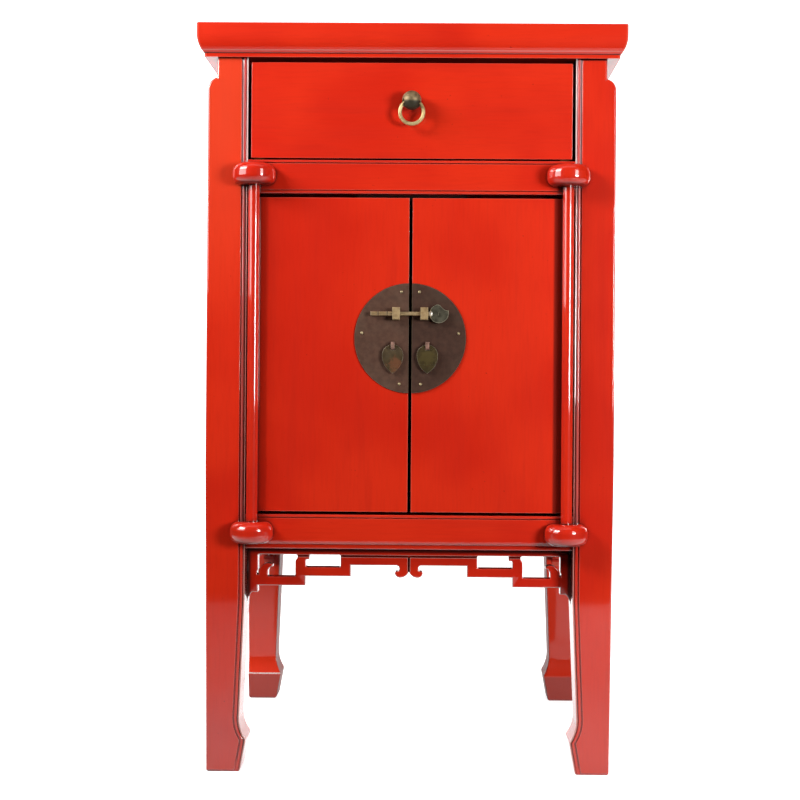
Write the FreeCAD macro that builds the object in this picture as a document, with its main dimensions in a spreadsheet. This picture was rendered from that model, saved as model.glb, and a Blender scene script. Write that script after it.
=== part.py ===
"""Red lacquer side cabinet: one drawer, two doors on turned posts, hoof-foot legs and a fret apron.

Millimetres, +Z up, front towards -Y, origin on the floor under the middle of the whole cabinet.
"""
import FreeCAD, Part
import math
import os
import types

import Sketcher

# Driving sizes in millimetres. Everything else is worked out from these.
SIZES = {
    # Whole cabinet
    "top_width": 458.4,
    "top_depth": 400,
    "height": 800,
    "leg_open": 238.6,
    # Moulded top
    "top_thick": 35.6,
    "top_overhang": 10.7,
    "top_round": 2,
    "top_flat": 13,
    "ovolo_set": 4.1,
    "splay_set": 6.6,
    "splay_height": 3.2,
    "fillet_set": 7.4,
    "fillet_height": 4.2,
    "top_frame_width": 62,
    "top_panel_thick": 14,
    "top_tongue": 8,
    "top_tongue_thick": 6,
    "brace_width": 36,
    "brace_thick": 16,
    "brace_tenon": 15,
    # Legs
    "leg_width": 43.3,
    "neck_set": 9.8,
    "neck_height": 20.8,
    "shoulder_height": 12,
    "leg_taper": 5,
    "taper_top": 185,
    "outer_taper": 3.2,
    "outer_taper_top": 330,
    "hoof_top": 58,
    "hoof_tip": 34,
    "hoof_out": 2.3,
    "toe_in": 3.6,
    "foot_round": 2,
    "bead_strip": 1.4,
    "bead_quirk": 0.8,
    "bead_width": 3.4,
    "bead_groove": 1.1,
    "bead_depth": 1.2,
    "leg_tenon_inset": 14.3,
    "leg_tenon_wide": 14,
    "leg_tenon_face": 2.5,
    "leg_tenon_deep": 11,
    "leg_tenon_high": 20,
    # Rails and panels
    "drawer_opening": 108.9,
    "drawer_rail_height": 36.3,
    "sill_height": 37.4,
    "side_rail_set": 1.2,
    "rail_depth": 38,
    "rail_bead": 3,
    "rail_groove": 1,
    "sill_ovolo": 4.4,
    "sill_ovolo_set": 3.4,
    "sill_fillet": 3.6,
    "sill_fillet_set": 4.4,
    "sill_round": 1.4,
    "tenon_long": 20,
    "tenon_thick": 12,
    "tenon_face": 12,
    "tenon_shoulder": 6,
    "side_tenon_long": 12,
    "side_tenon_thick": 10,
    "side_tenon_face": 9,
    "upper_rail_height": 54,
    "upper_rail_thick": 24,
    "back_rail_thick": 24,
    "panel_thick": 10,
    "panel_set": 6,
    "panel_tongue": 6,
    "floor_thick": 12,
    "floor_drop": 2,
    "floor_notch_gap": 0.5,
    # Fret apron
    "fret_set": 22,
    "fret_thick": 14,
    "fret_top_bar": 8.6,
    "fret_bar": 9.7,
    "fret_upright": 11.1,
    "fret_corner": 1.9,
    "fret_middle_tall": 19.6,
    "fret_groove": 2.2,
    "fret_groove_deep": 2.5,
    "fret_first_wide": 40.8,
    "fret_first_tall": 23.9,
    "fret_second_wide": 38.1,
    "fret_second_tall": 13.5,
    "fret_hook_root": 10.9,
    "fret_hook_neck": 4.8,
    "fret_hook_reach": 16,
    "fret_hook_lip": 10.6,
    "fret_hook_tip": 1.4,
    "fret_hook_tall": 14.3,
    "fret_hook_crown": 11,
    "fret_slot": 1.9,
    "fret_slot_low": 2.2,
    "fret_slot_top": 5.2,
    "fret_slot_run": 2.2,
    "fret_waist": 2.1,
    "fret_waist_top": 3,
    "fret_waist_low": 7.2,
    "fret_ear_wide": 4.1,
    "fret_ear_tall": 5.2,
    "fret_curl_notch": 6.8,
    "fret_curl_low": 9.6,
    "fret_curl_drop": 13.3,
    "fret_curl_tip": 15.2,
    "fret_curl_tip_drop": 8.3,
    "fret_curl_lip": 13.6,
    "fret_curl_lip_drop": 6.6,
    "fret_curl_neck": 10.3,
    "fret_curl_neck_drop": 3.4,
    "fret_curl_root": 12.9,
    "fret_tail_step": 7.2,
    "fret_tail_wide": 5.6,
    "fret_tail_drop": 18.2,
    # Pivot drums and hinge posts
    "drum_width": 46,
    "drum_height": 23,
    "drum_round": 9.5,
    "drum_rise": 1.05,
    "drum_drop": 0.2,
    "drum_peg_width": 10,
    "drum_peg_long": 16,
    "drum_peg_root": 2,
    "drum_peg_inset": 9,
    "post_width": 12,
    "post_seat": 1,
    "post_from_leg": 7.7,
    "pivot_width": 8,
    "pivot_long": 10,
    "running_gap": 0.3,
    "seat_gap": 0.05,
    # Doors
    "door_thick": 17,
    "door_gap": 3.2,
    "door_head_gap": 4.2,
    "door_side_gap": 1,
    "door_meeting_gap": 3.4,
    "door_bevel": 2,
    "batten_height": 30,
    "batten_thick": 14,
    "batten_let_in": 4,
    "batten_inset": 60,
    "batten_end": 16,
    "stop_length": 120,
    "stop_height": 15,
    # Drawer
    "drawer_gap_top": 4.8,
    "drawer_gap_bottom": 1.5,
    "drawer_gap_side": 3.5,
    "drawer_front_thick": 18,
    "drawer_side_inset": 1.7,
    "drawer_side_thick": 10,
    "drawer_side_height": 84,
    "drawer_back_gap": 1,
    "drawer_lap": 9,
    "drawer_bottom_thick": 6,
    "drawer_bottom_lift": 7,
    "drawer_groove": 5,
    "runner_thick": 14,
    "runner_wide": 22,
    "guide_height": 18,
    "guide_gap": 0.6,
    "bearer_thick": 20,
    # Ring pull
    "boss_width": 20.5,
    "boss_stand": 12,
    "boss_stem_width": 9,
    "ring_width": 29,
    "ring_wire": 4,
    "pull_offset": 7.05,
    # Lock plate and its fittings
    "plate_width": 117,
    "plate_thick": 1.5,
    "plate_offset": 17.4,
    "plate_shift": 1,
    "nail_width": 3.3,
    "nail_high_x": 9.6,
    "nail_high_z": 49.4,
    "nail_side_x": 51.8,
    "nail_side_z": 5.4,
    "nail_low_x": 11.4,
    "nail_low_z": 48.9,
    "lock_staple_x": 15,
    "lock_staple_z": 26,
    "lock_staple_wide": 8,
    "lock_staple_tall": 13.4,
    "lock_staple_wall": 2,
    "lock_staple_foot": 1.6,
    "lock_staple_round": 1.2,
    "pin_width": 4.2,
    "pin_tail_width": 4.8,
    "pin_tail_x": 42.3,
    "pin_tail_long": 22.8,
    "pin_groove_first": 7.7,
    "pin_groove_second": 17.3,
    "pin_groove": 0.9,
    "pin_groove_deep": 0.5,
    "pin_neck_x": 21.8,
    "pin_neck_width": 5.4,
    "pin_head_x": 30.3,
    "pin_head_width": 19.4,
    "pin_head_thick": 2.4,
    "pin_bill_long": 10.3,
    "pin_bill_rise": 3.4,
    "pin_crest_x": 1.6,
    "pin_nape_x": 3,
    "pin_nape_rise": 7.2,
    "pull_staple_x": 18.5,
    "pull_staple_z": 8.2,
    "pull_staple_wide": 3.9,
    "pull_staple_tall": 8.6,
    "pull_staple_bore": 4.4,
    "pull_staple_wall": 1.1,
    "leaf_wide": 22.7,
    "leaf_long": 30.8,
    "leaf_thick": 2,
    "leaf_bridge": 2.6,
    "leaf_gap": 0.4,
}

doc = FreeCAD.newDocument("side_cabinet")
sheet = doc.addObject("Spreadsheet::Sheet", "size")
for row, (alias, millimetres) in enumerate(SIZES.items(), start=1):
    sheet.set(f"A{row}", alias)
    sheet.set(f"B{row}", str(millimetres))
    sheet.setAlias(f"B{row}", alias)
doc.recompute()


class Dim:
    """A length with its value in millimetres and the sheet formula that drives it."""

    def __init__(self, value, formula):
        self.value = float(value)
        self.formula = formula

    def __add__(self, other):
        other = as_dim(other)
        return Dim(self.value + other.value, f"({self.formula} + {other.formula})")

    def __sub__(self, other):
        other = as_dim(other)
        return Dim(self.value - other.value, f"({self.formula} - {other.formula})")

    def __mul__(self, other):
        other = as_dim(other)
        return Dim(self.value * other.value, f"({self.formula} * {other.formula})")

    def __truediv__(self, other):
        other = as_dim(other)
        return Dim(self.value / other.value, f"({self.formula} / {other.formula})")

    def __neg__(self):
        return self * -1


def as_dim(length):
    """Let a plain number stand beside the named sizes."""
    return length if isinstance(length, Dim) else Dim(length, f"({length})")


def root(square):
    """The square root of a size."""
    return Dim(math.sqrt(square.value), f"sqrt({square.formula})")


s = types.SimpleNamespace(**{alias: Dim(value, f"size.{alias}") for alias, value in SIZES.items()})
ZERO = as_dim(0)

# Main planes of the cabinet
half_width = s.top_width / 2 - s.top_overhang
half_depth = s.top_depth / 2 - s.top_overhang
post_forward = s.post_width / 2 - s.post_seat
middle = (s.drum_width / 2 + post_forward - s.top_overhang) / 2
front = middle - half_depth
back = middle + half_depth
leg_inner = half_width - s.leg_width
front_inner = front + s.leg_width
back_inner = back - s.leg_width
leg_top = s.height - s.top_thick
drawer_floor = leg_top - s.drawer_opening
door_head = drawer_floor - s.drawer_rail_height
sill = s.leg_open + s.sill_height
post_x = leg_inner - s.post_from_leg
post_y = front - post_forward
plate_face = front - s.plate_thick
plate_z = (sill + door_head) / 2 + s.plate_offset
pull_z = (drawer_floor + leg_top) / 2 + s.pull_offset
bearer_back = back - s.panel_set - s.panel_thick
bearer_front = bearer_back - s.bearer_thick
SIDES = {"left": -1, "right": 1}

parts = []


def keep(solid, label):
    """Name a finished sub-part, which goes into its own file."""
    solid.Label = label
    parts.append(solid)
    return solid


def box(name, x, y, z):
    """A block between the low and high ends given on each axis."""
    block = doc.addObject("Part::Box", name)
    for axis, side, (low, high) in zip("xyz", ("Length", "Width", "Height"), (x, y, z)):
        block.setExpression(side, (high - low).formula)
        block.setExpression(f"Placement.Base.{axis}", low.formula)
    return block


TURNS = {
    "x": FreeCAD.Rotation(FreeCAD.Vector(0, 1, 0), 90),
    "y": FreeCAD.Rotation(FreeCAD.Vector(1, 0, 0), -90),
    "-y": FreeCAD.Rotation(FreeCAD.Vector(1, 0, 0), 90),
    "z": FreeCAD.Rotation(),
}


def put(solid, axis, centre):
    """Turn a round primitive's axis and set its centre."""
    solid.Placement = FreeCAD.Placement(FreeCAD.Vector(), TURNS[axis])
    for name, place in zip("xyz", centre):
        solid.setExpression(f"Placement.Base.{name}", place.formula)
    return solid


def rod(name, axis, foot, width, length):
    """A cylinder that stands on foot and runs along an axis."""
    solid = doc.addObject("Part::Cylinder", name)
    solid.setExpression("Radius", (width / 2).formula)
    solid.setExpression("Height", length.formula)
    return put(solid, axis, foot)


def fuse(name, *solids):
    joined = doc.addObject("Part::MultiFuse", name)
    joined.Shapes = list(solids)
    return joined


def cut(name, base, *tools):
    result = doc.addObject("Part::Cut", name)
    result.Base = base
    result.Tool = tools[0] if len(tools) == 1 else fuse(f"{name}_tools", *tools)
    return result


def common(name, first, second):
    result = doc.addObject("Part::MultiCommon", name)
    result.Shapes = [first, second]
    return result


def group(name, *solids):
    result = doc.addObject("Part::Compound", name)
    result.Links = list(solids)
    return result


def tangent_arc(here, there, touch):
    """Radius and centre of an arc that is upright (v) or level (h) at its first (0) or last (1) point."""
    run = there[0] - here[0]
    rise = there[1] - here[1]
    across = run if touch[0] == "v" else rise
    anchor, sign = (here, 1) if touch[1] == "0" else (there, -1)
    reach = (run * run + rise * rise) / (across * 2) * sign
    if touch[0] == "v":
        centre = FreeCAD.Vector(anchor[0].value + reach.value, anchor[1].value, 0)
    else:
        centre = FreeCAD.Vector(anchor[0].value, anchor[1].value + reach.value, 0)
    return (reach if reach.value > 0 else -reach), centre


def segment(here, there):
    """One curve of an outline, with its point numbers at both ends and its radius if it is an arc."""
    start = FreeCAD.Vector(here[0].value, here[1].value, 0)
    end = FreeCAD.Vector(there[0].value, there[1].value, 0)
    if len(here) == 2:
        return Part.LineSegment(start, end), (1, 2), None
    radius, centre = tangent_arc(here, there, here[2])
    circle = Part.Circle(centre, FreeCAD.Vector(0, 0, 1), radius.value)
    first, last = circle.parameter(start), circle.parameter(end)
    if (start - centre).cross(end - centre).z > 0:
        return Part.ArcOfCircle(circle, first, last), (1, 2), radius
    return Part.ArcOfCircle(circle, last, first), (2, 1), radius


def add_loop(sketch, loop):
    """Draw a closed outline and tie each of its points and radii to the sheet."""
    base = sketch.GeometryCount
    curves = [segment(here, there) for here, there in zip(loop, loop[1:] + loop[:1])]
    sketch.addGeometry([curve for curve, ends, radius in curves], False)
    limits = []
    for step, (curve, ends, radius) in enumerate(curves):
        number = base + step
        following = (step + 1) % len(loop)
        across, up = loop[step][0], loop[step][1]
        join = ("Coincident", number, ends[1], base + following, curves[following][1][0])
        limits.append((Sketcher.Constraint(*join), None))
        limits.append((Sketcher.Constraint("DistanceX", -1, 1, number, ends[0], across.value), across))
        limits.append((Sketcher.Constraint("DistanceY", -1, 1, number, ends[0], up.value), up))
        if radius:
            limits.append((Sketcher.Constraint("Radius", number, radius.value), radius))
    numbers = sketch.addConstraint([limit for limit, size in limits])
    for number, (limit, size) in zip(numbers, limits):
        if size:
            sketch.setExpression(f"Constraints[{number}]", size.formula)


def draw(body, plane, origin, loops):
    """A sketch on one of the body's own planes, with its origin at a point of the cabinet."""
    x, y, z = origin
    offsets = {"XY_Plane": (x, y, z), "XZ_Plane": (x, z, -y), "YZ_Plane": (y, z, x)}[plane]
    sketch = body.newObject("Sketcher::SketchObject", f"{body.Name}_outline")
    support = [feature for feature in body.Origin.OriginFeatures if feature.Role == plane]
    sketch.AttachmentSupport = [(support[0], "")]
    sketch.MapMode = "FlatFace"
    for axis, offset in zip("xyz", offsets):
        sketch.setExpression(f"AttachmentOffset.Base.{axis}", offset.formula)
    for loop in loops:
        add_loop(sketch, loop)
    return sketch


def pad(name, plane, origin, loops, length):
    """A profile drawn on a plane and run along its normal: +Z for XY, -Y for XZ, +X for YZ."""
    body = doc.addObject("PartDesign::Body", name)
    sketch = draw(body, plane, origin, loops)
    feature = body.newObject("PartDesign::Pad", f"{name}_pad")
    feature.Profile = sketch
    feature.setExpression("Length", length.formula)
    return body


def turned(name, plane, origin, loop, axis):
    """A half profile turned round an axis of its sketch."""
    body = doc.addObject("PartDesign::Body", name)
    sketch = draw(body, plane, origin, [loop])
    feature = body.newObject("PartDesign::Revolution", f"{name}_turn")
    feature.Profile = sketch
    feature.ReferenceAxis = (sketch, [axis])
    feature.Angle = 360
    return body


def mirrored(loop, side):
    """The same outline on the left (-1) or right (1)."""
    return [(point[0] * side, *point[1:]) for point in loop]


def both_halves(half):
    """A symmetrical outline from its right half, listed from bottom to top without arcs at its ends."""
    swap = {"v0": "v1", "v1": "v0", "h0": "h1", "h1": "h0"}
    left = []
    for number in range(len(half) - 1, -1, -1):
        point = (-half[number][0], half[number][1])
        before = half[number - 1] if number else ()
        left.append((*point, swap[before[2]]) if len(before) == 3 else point)
    return half + left


def plus_minus(length):
    return (-length, length)


def ordered(side, near, far):
    """A range of x from the middle outwards, on the left or the right."""
    return (near, far) if side > 0 else (-far, -near)


# The moulded top: a slab with the edge moulding all round, cut into a mitred frame
def top_edge(half):
    return both_halves([
        (half - s.fillet_set, leg_top),
        (half - s.fillet_set, leg_top + s.fillet_height),
        (half - s.splay_set, leg_top + s.fillet_height),
        (half - s.ovolo_set, leg_top + s.fillet_height + s.splay_height, "v1"),
        (half, s.height - s.top_flat),
        (half, s.height - s.top_round, "v0"),
        (half - s.top_round, s.height),
    ])


def make_top(leg_tenons):
    half_x, half_y = s.top_width / 2, s.top_depth / 2
    across = pad("top_section_x", "XZ_Plane", (ZERO, middle + half_y, ZERO), [top_edge(half_x)], s.top_depth)
    along = pad("top_section_y", "YZ_Plane", (-half_x, middle, ZERO), [top_edge(half_y)], s.top_width)
    slab = common("top_slab", across, along)
    open_x, open_y = half_x - s.top_frame_width, half_y - s.top_frame_width
    bed = s.height - s.top_panel_thick
    field = box(
        "top_field", plus_minus(open_x), (middle - open_y, middle + open_y), (bed, s.height)
    )
    tongue_x, tongue_y = open_x + s.top_tongue, open_y + s.top_tongue
    tongue = box(
        "top_field_tongue",
        plus_minus(tongue_x),
        (middle - tongue_y, middle + tongue_y),
        (bed, bed + s.top_tongue_thick),
    )
    panel = keep(fuse("top_panel_whole", field, tongue), "top_panel")
    brace_reach = open_y + s.brace_tenon
    brace = keep(
        box(
            "top_brace_bar",
            plus_minus(s.brace_width / 2),
            (middle - brace_reach, middle + brace_reach),
            (bed - s.brace_thick, bed),
        ),
        "top_brace",
    )
    outlines = {
        "front": [(-half_x, -half_y), (half_x, -half_y), (open_x, -open_y), (-open_x, -open_y)],
        "back": [(half_x, half_y), (-half_x, half_y), (-open_x, open_y), (open_x, open_y)],
        "left": [(-half_x, half_y), (-half_x, -half_y), (-open_x, -open_y), (-open_x, open_y)],
        "right": [(half_x, -half_y), (half_x, half_y), (open_x, open_y), (open_x, -open_y)],
    }
    for side, outline in outlines.items():
        wedge = pad(f"top_mitre_{side}", "XY_Plane", (ZERO, middle, leg_top), [outline], s.top_thick)
        member = common(f"top_member_{side}", slab, wedge)
        tools = [panel]
        if side in ("front", "back"):
            tools += [brace] + leg_tenons[side]
        keep(cut(f"top_frame_{side}_cut", member, *tools), f"top_frame_{side}")


# Legs: the front and side outlines meet in one solid
def leg_inner_edge(inner, offset):
    """The inner edge of a leg from the top down to the toe, moved outwards by offset."""
    return [
        (inner + offset, leg_top),
        (inner + offset, s.taper_top),
        (inner + s.leg_taper + offset, s.hoof_top, "v0"),
        (inner - s.hoof_out + offset, s.hoof_tip),
        (inner + s.toe_in + offset, s.foot_round),
    ]


def leg_front_outline():
    shoulder = leg_top - s.neck_height
    foot = half_width - s.outer_taper
    outer = [
        (foot - s.foot_round, ZERO),
        (foot, s.foot_round),
        (half_width, s.outer_taper_top),
        (half_width, shoulder - s.shoulder_height, "v0"),
        (half_width - s.neck_set, shoulder),
        (half_width - s.neck_set, leg_top),
    ]
    return outer + leg_inner_edge(leg_inner, ZERO) + [(leg_inner + s.toe_in + s.foot_round, ZERO)]


def leg_side_outline():
    inner = half_depth - s.leg_width
    outer = [(half_depth - s.foot_round, ZERO), (half_depth, s.foot_round), (half_depth, leg_top)]
    return outer + leg_inner_edge(inner, ZERO) + [(inner + s.toe_in + s.foot_round, ZERO)]


def leg_groove_outline(start, width):
    """A narrow groove that follows the inner edge at a distance."""
    near = leg_inner_edge(leg_inner, start)
    far = leg_inner_edge(leg_inner, start + width)
    down = near[:-1] + [(near[-1][0], ZERO)]
    up = [(far[-1][0], ZERO), (far[3][0], far[3][1], "v1"), far[2][:2], far[1], far[0]]
    return down + up


def leg_tenon(end, side):
    x = ordered(
        SIDES[side],
        half_width - s.leg_tenon_inset - s.leg_tenon_wide,
        half_width - s.leg_tenon_inset,
    )
    near, far = s.leg_tenon_face, s.leg_tenon_face + s.leg_tenon_deep
    y = (front + near, front + far) if end == "front" else (back - far, back - near)
    return box(f"leg_tenon_{end}_{side}", x, y, (leg_top, leg_top + s.leg_tenon_high))


def make_leg(end, side, tenon, sockets):
    name = f"leg_{end}_{side}"
    sign = SIDES[side]
    toward = -1 if end == "front" else 1
    depth = s.leg_width + s.hoof_out
    rear = front + depth if end == "front" else back
    face = pad(
        f"{name}_face", "XZ_Plane", (ZERO, rear, ZERO), [mirrored(leg_front_outline(), sign)], depth
    )
    start = leg_inner - s.hoof_out if sign > 0 else -half_width
    flank = pad(
        f"{name}_flank", "YZ_Plane", (start, middle, ZERO), [mirrored(leg_side_outline(), toward)], depth
    )
    shaped = fuse(f"{name}_shaped", common(f"{name}_post", face, flank), tenon)
    tools = list(sockets)
    if end == "front":
        bed = (ZERO, front + s.bead_depth, ZERO)
        beyond = s.bead_strip + s.bead_quirk + s.bead_width
        quirk = [mirrored(leg_groove_outline(s.bead_strip, s.bead_quirk), sign)]
        groove = [mirrored(leg_groove_outline(beyond, s.bead_groove), sign)]
        tools.append(pad(f"{name}_quirk", "XZ_Plane", bed, quirk, s.bead_depth))
        tools.append(pad(f"{name}_groove", "XZ_Plane", bed, groove, s.bead_depth))
    keep(cut(f"{name}_cut", shaped, *tools), name)


# Rails
def beaded_top(face, high):
    """The bead and groove along a rail's top edge, from the top down its face."""
    radius = s.rail_bead / 2
    under = high - s.rail_bead
    return [
        (face + radius, high, "h0"),
        (face, high - radius),
        (face, under),
        (face + s.rail_groove, under),
        (face + s.rail_groove, under - s.rail_groove),
        (face, under - s.rail_groove),
    ]


def drawer_rail_outline():
    low, high = door_head, drawer_floor
    above = low + s.rail_bead
    radius = s.rail_bead / 2
    return beaded_top(front, high) + [
        (front, above + s.rail_groove),
        (front + s.rail_groove, above + s.rail_groove),
        (front + s.rail_groove, above),
        (front, above),
        (front, low + radius, "v0"),
        (front + radius, low),
        (front + s.rail_depth, low),
        (front + s.rail_depth, high),
    ]


def sill_outline():
    low, high = s.leg_open, sill
    ovolo_low = low + s.sill_fillet + s.sill_round
    inset = front + s.sill_fillet_set
    return beaded_top(front, high) + [
        (front, ovolo_low + s.sill_ovolo, "v0"),
        (front + s.sill_ovolo_set, ovolo_low),
        (inset, ovolo_low),
        (inset, low + s.sill_round, "v0"),
        (inset + s.sill_round, low),
        (front + s.rail_depth, low),
        (front + s.rail_depth, high),
    ]


def upper_rail_outline():
    shoulder = leg_top - s.neck_height
    rail_inner = half_width - s.upper_rail_thick
    return [
        (rail_inner, leg_top - s.upper_rail_height),
        (half_width, leg_top - s.upper_rail_height),
        (half_width, shoulder - s.shoulder_height, "v0"),
        (half_width - s.neck_set, shoulder),
        (half_width - s.neck_set, leg_top),
        (rail_inner, leg_top),
    ]


def cross_tenons(name, y, z):
    """The two tenons of a rail that runs across, into the legs left and right."""
    return {
        side: box(f"{name}_tenon_{side}", ordered(sign, leg_inner, leg_inner + s.tenon_long), y, z)
        for side, sign in SIDES.items()
    }


def flank_tenons(name, side, z):
    """The two tenons of a rail that runs front to back, into the legs at its ends."""
    outer = half_width - s.side_tenon_face
    x = ordered(SIDES[side], outer - s.side_tenon_thick, outer)
    return {
        "front": box(f"{name}_tenon_front", x, (front_inner - s.side_tenon_long, front_inner), z),
        "back": box(f"{name}_tenon_back", x, (back_inner, back_inner + s.side_tenon_long), z),
    }


def within(low, high):
    """The height of a tenon between its shoulders."""
    return (low + s.tenon_shoulder, high - s.tenon_shoulder)


def make_cross_rail(name, blank, tenons, grooves, end, sockets):
    whole = fuse(f"{name}_whole", blank, *tenons.values())
    keep(cut(f"{name}_cut", whole, *grooves) if grooves else whole, name)
    for side, tenon in tenons.items():
        sockets[end, side].append(tenon)


def make_flank_rail(name, side, blank, tenons, grooves, sockets):
    whole = fuse(f"{name}_whole", blank, *tenons.values())
    keep(cut(f"{name}_cut", whole, *grooves), name)
    for end, tenon in tenons.items():
        sockets[end, side].append(tenon)


def make_panels(sockets):
    """Side and back panels held by tongues, and the cupboard floor."""
    tongue = s.panel_tongue
    height = (sill - tongue, leg_top - s.upper_rail_height + tongue)
    panels = {}
    for side, sign in SIDES.items():
        outer = half_width - s.panel_set
        x = ordered(sign, outer - s.panel_thick, outer)
        y = (front_inner - tongue, back_inner + tongue)
        panels[side] = keep(box(f"side_panel_{side}_board", x, y, height), f"side_panel_{side}")
        sockets["front", side].append(panels[side])
        sockets["back", side].append(panels[side])
    outer = back - s.panel_set
    y = (outer - s.panel_thick, outer)
    board = box("back_panel_board", plus_minus(leg_inner + tongue), y, height)
    panels["back"] = keep(board, "back_panel")
    for side in SIDES:
        sockets["back", side].append(panels["back"])
    half_x = half_width - s.rail_depth + tongue
    near, far = front + s.rail_depth - tongue, back - s.rail_depth + tongue
    level = sill - s.floor_drop
    z = (level - s.floor_thick, level)
    board = box("cupboard_floor_board", plus_minus(half_x), (near, far), z)
    notches = []
    for side, sign in SIDES.items():
        x = ordered(sign, leg_inner - s.floor_notch_gap, half_width)
        notches.append(box(f"floor_notch_front_{side}", x, (front, front_inner + s.floor_notch_gap), z))
        notches.append(box(f"floor_notch_back_{side}", x, (back_inner - s.floor_notch_gap, back), z))
    panels["floor"] = keep(cut("cupboard_floor_cut", board, *notches), "cupboard_floor")
    return panels


def make_rails(panels, pegs, sockets):
    tenon_y = (front + s.tenon_face, front + s.tenon_face + s.tenon_thick)
    left_end = (-leg_inner, ZERO, ZERO)
    blank = pad("drawer_rail_blank", "YZ_Plane", left_end, [drawer_rail_outline()], leg_inner * 2)
    tenons = cross_tenons("drawer_rail", tenon_y, within(door_head, drawer_floor))
    grooves = pegs["upper"] + post_reliefs("upper")
    make_cross_rail("drawer_rail", blank, tenons, grooves, "front", sockets)

    blank = pad("bottom_rail_blank", "YZ_Plane", left_end, [sill_outline()], leg_inner * 2)
    tenons = cross_tenons("bottom_rail_front", tenon_y, within(s.leg_open, sill))
    grooves = pegs["lower"] + post_reliefs("lower") + [panels["floor"]]
    make_cross_rail("bottom_rail_front", blank, tenons, grooves, "front", sockets)

    tenon_y = (back - s.tenon_face - s.tenon_thick, back - s.tenon_face)
    rail_y = (back - s.rail_depth, back)
    blank = box("bottom_rail_back_bar", plus_minus(leg_inner), rail_y, (s.leg_open, sill))
    tenons = cross_tenons("bottom_rail_back", tenon_y, within(s.leg_open, sill))
    make_cross_rail(
        "bottom_rail_back", blank, tenons, [panels["floor"], panels["back"]], "back", sockets
    )

    upper = (leg_top - s.upper_rail_height, leg_top)
    blank = box("upper_rail_back_bar", plus_minus(leg_inner), (back - s.back_rail_thick, back), upper)
    tenons = cross_tenons("upper_rail_back", tenon_y, within(*upper))
    make_cross_rail("upper_rail_back", blank, tenons, [panels["back"]], "back", sockets)

    bearer_y = (bearer_front, bearer_back)
    blank = box("runner_bearer_bar", plus_minus(leg_inner), bearer_y, (door_head, drawer_floor))
    tenon_y = (bearer_y[0], bearer_y[0] + s.tenon_thick)
    tenons = cross_tenons("runner_bearer", tenon_y, within(door_head, drawer_floor))
    make_cross_rail("runner_bearer", blank, tenons, [], "back", sockets)

    for side, sign in SIDES.items():
        name = f"bottom_rail_{side}"
        x = ordered(sign, half_width - s.rail_depth, half_width - s.side_rail_set)
        blank = box(f"{name}_bar", x, (front_inner, back_inner), (s.leg_open, sill))
        tenons = flank_tenons(name, side, within(s.leg_open, sill))
        make_flank_rail(name, side, blank, tenons, [panels["floor"], panels[side]], sockets)

        name = f"upper_rail_{side}"
        loop = mirrored(upper_rail_outline(), sign)
        blank = pad(f"{name}_blank", "XZ_Plane", (ZERO, back_inner, ZERO), [loop], back_inner - front_inner)
        tenons = flank_tenons(name, side, within(upper[0], leg_top - s.neck_height - s.shoulder_height))
        make_flank_rail(name, side, blank, tenons, [panels[side]], sockets)


# Fret apron: bars that step up towards the middle, with hooks in the openings and a double curl
def fret_levels():
    """Under the top bar, then the bottoms of the opening by the leg and of the one nearer the middle."""
    under = s.leg_open - s.fret_top_bar
    return under, under - s.fret_first_tall, under - s.fret_second_tall


def fret_uprights(half_span):
    """Both edges of the upright between the openings, and the inner edge of the last upright."""
    outer = half_span - s.fret_upright - s.fret_first_wide
    inner = outer - s.fret_upright
    return outer, inner, inner - s.fret_second_wide - s.fret_upright


def fret_half(half_span):
    """The right half of the apron's outer outline, from the middle of its lower edge to its top."""
    under, first_low, second_low = fret_levels()
    post_outer, post_inner, last_inner = fret_uprights(half_span)
    low = s.leg_open - s.fret_middle_tall
    stile = half_span - s.fret_upright
    tail_top = first_low - s.fret_bar
    return [
        (ZERO, low - s.fret_curl_notch, "h1"),
        (s.fret_curl_low, low - s.fret_curl_drop, "h0"),
        (s.fret_curl_tip, low - s.fret_curl_tip_drop, "v0"),
        (s.fret_curl_lip, low - s.fret_curl_lip_drop, "v1"),
        (s.fret_curl_neck, low - s.fret_curl_neck_drop, "v0"),
        (s.fret_curl_root, low),
        (last_inner, low),
        (last_inner, second_low - s.fret_bar),
        (post_inner, second_low - s.fret_bar),
        (post_inner, tail_top),
        (stile, tail_top),
        (stile, tail_top - s.fret_tail_step),
        (half_span - s.fret_tail_wide, tail_top - s.fret_tail_step, "v1"),
        (half_span, tail_top - s.fret_tail_drop),
        (half_span, s.leg_open),
    ]


def fret_outer(half_span):
    half = fret_half(half_span)
    mirrored_half = both_halves(half)
    return mirrored_half[:-1]


def fret_first_opening(half_span):
    """The opening next to the leg, with a wave-shaped hook that a thin slot parts from the stile."""
    under, low, second_low = fret_levels()
    stile = half_span - s.fret_upright
    inner = stile - s.fret_first_wide
    waist = inner - s.fret_waist
    corner = s.fret_corner
    tip = stile - s.fret_hook_reach
    slot = s.fret_slot / 2
    slot_top = low + s.fret_slot_top
    waist_top, waist_low = under - s.fret_waist_top, under - s.fret_waist_low
    return [
        (inner + corner, low),
        (stile - s.fret_hook_root, low),
        (stile - s.fret_hook_root, low + s.fret_hook_neck, "v0"),
        (tip, low + s.fret_hook_lip),
        (tip, low + s.fret_hook_lip + s.fret_hook_tip, "h1"),
        (stile - s.fret_hook_crown, low + s.fret_hook_tall, "h0"),
        (stile - slot, slot_top),
        (stile - slot, low + s.fret_slot_low),
        (stile + slot, low + s.fret_slot_low),
        (stile + slot, slot_top),
        (stile, slot_top + s.fret_slot_run),
        (stile, under - corner, "v0"),
        (stile - corner, under),
        (waist + corner, under, "h0"),
        (waist, under - corner),
        (waist, waist_top, "v0"),
        ((inner + waist) / 2, (waist_top + waist_low) / 2, "v1"),
        (inner, waist_low),
        (inner, low + corner, "v0"),
    ]


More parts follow.
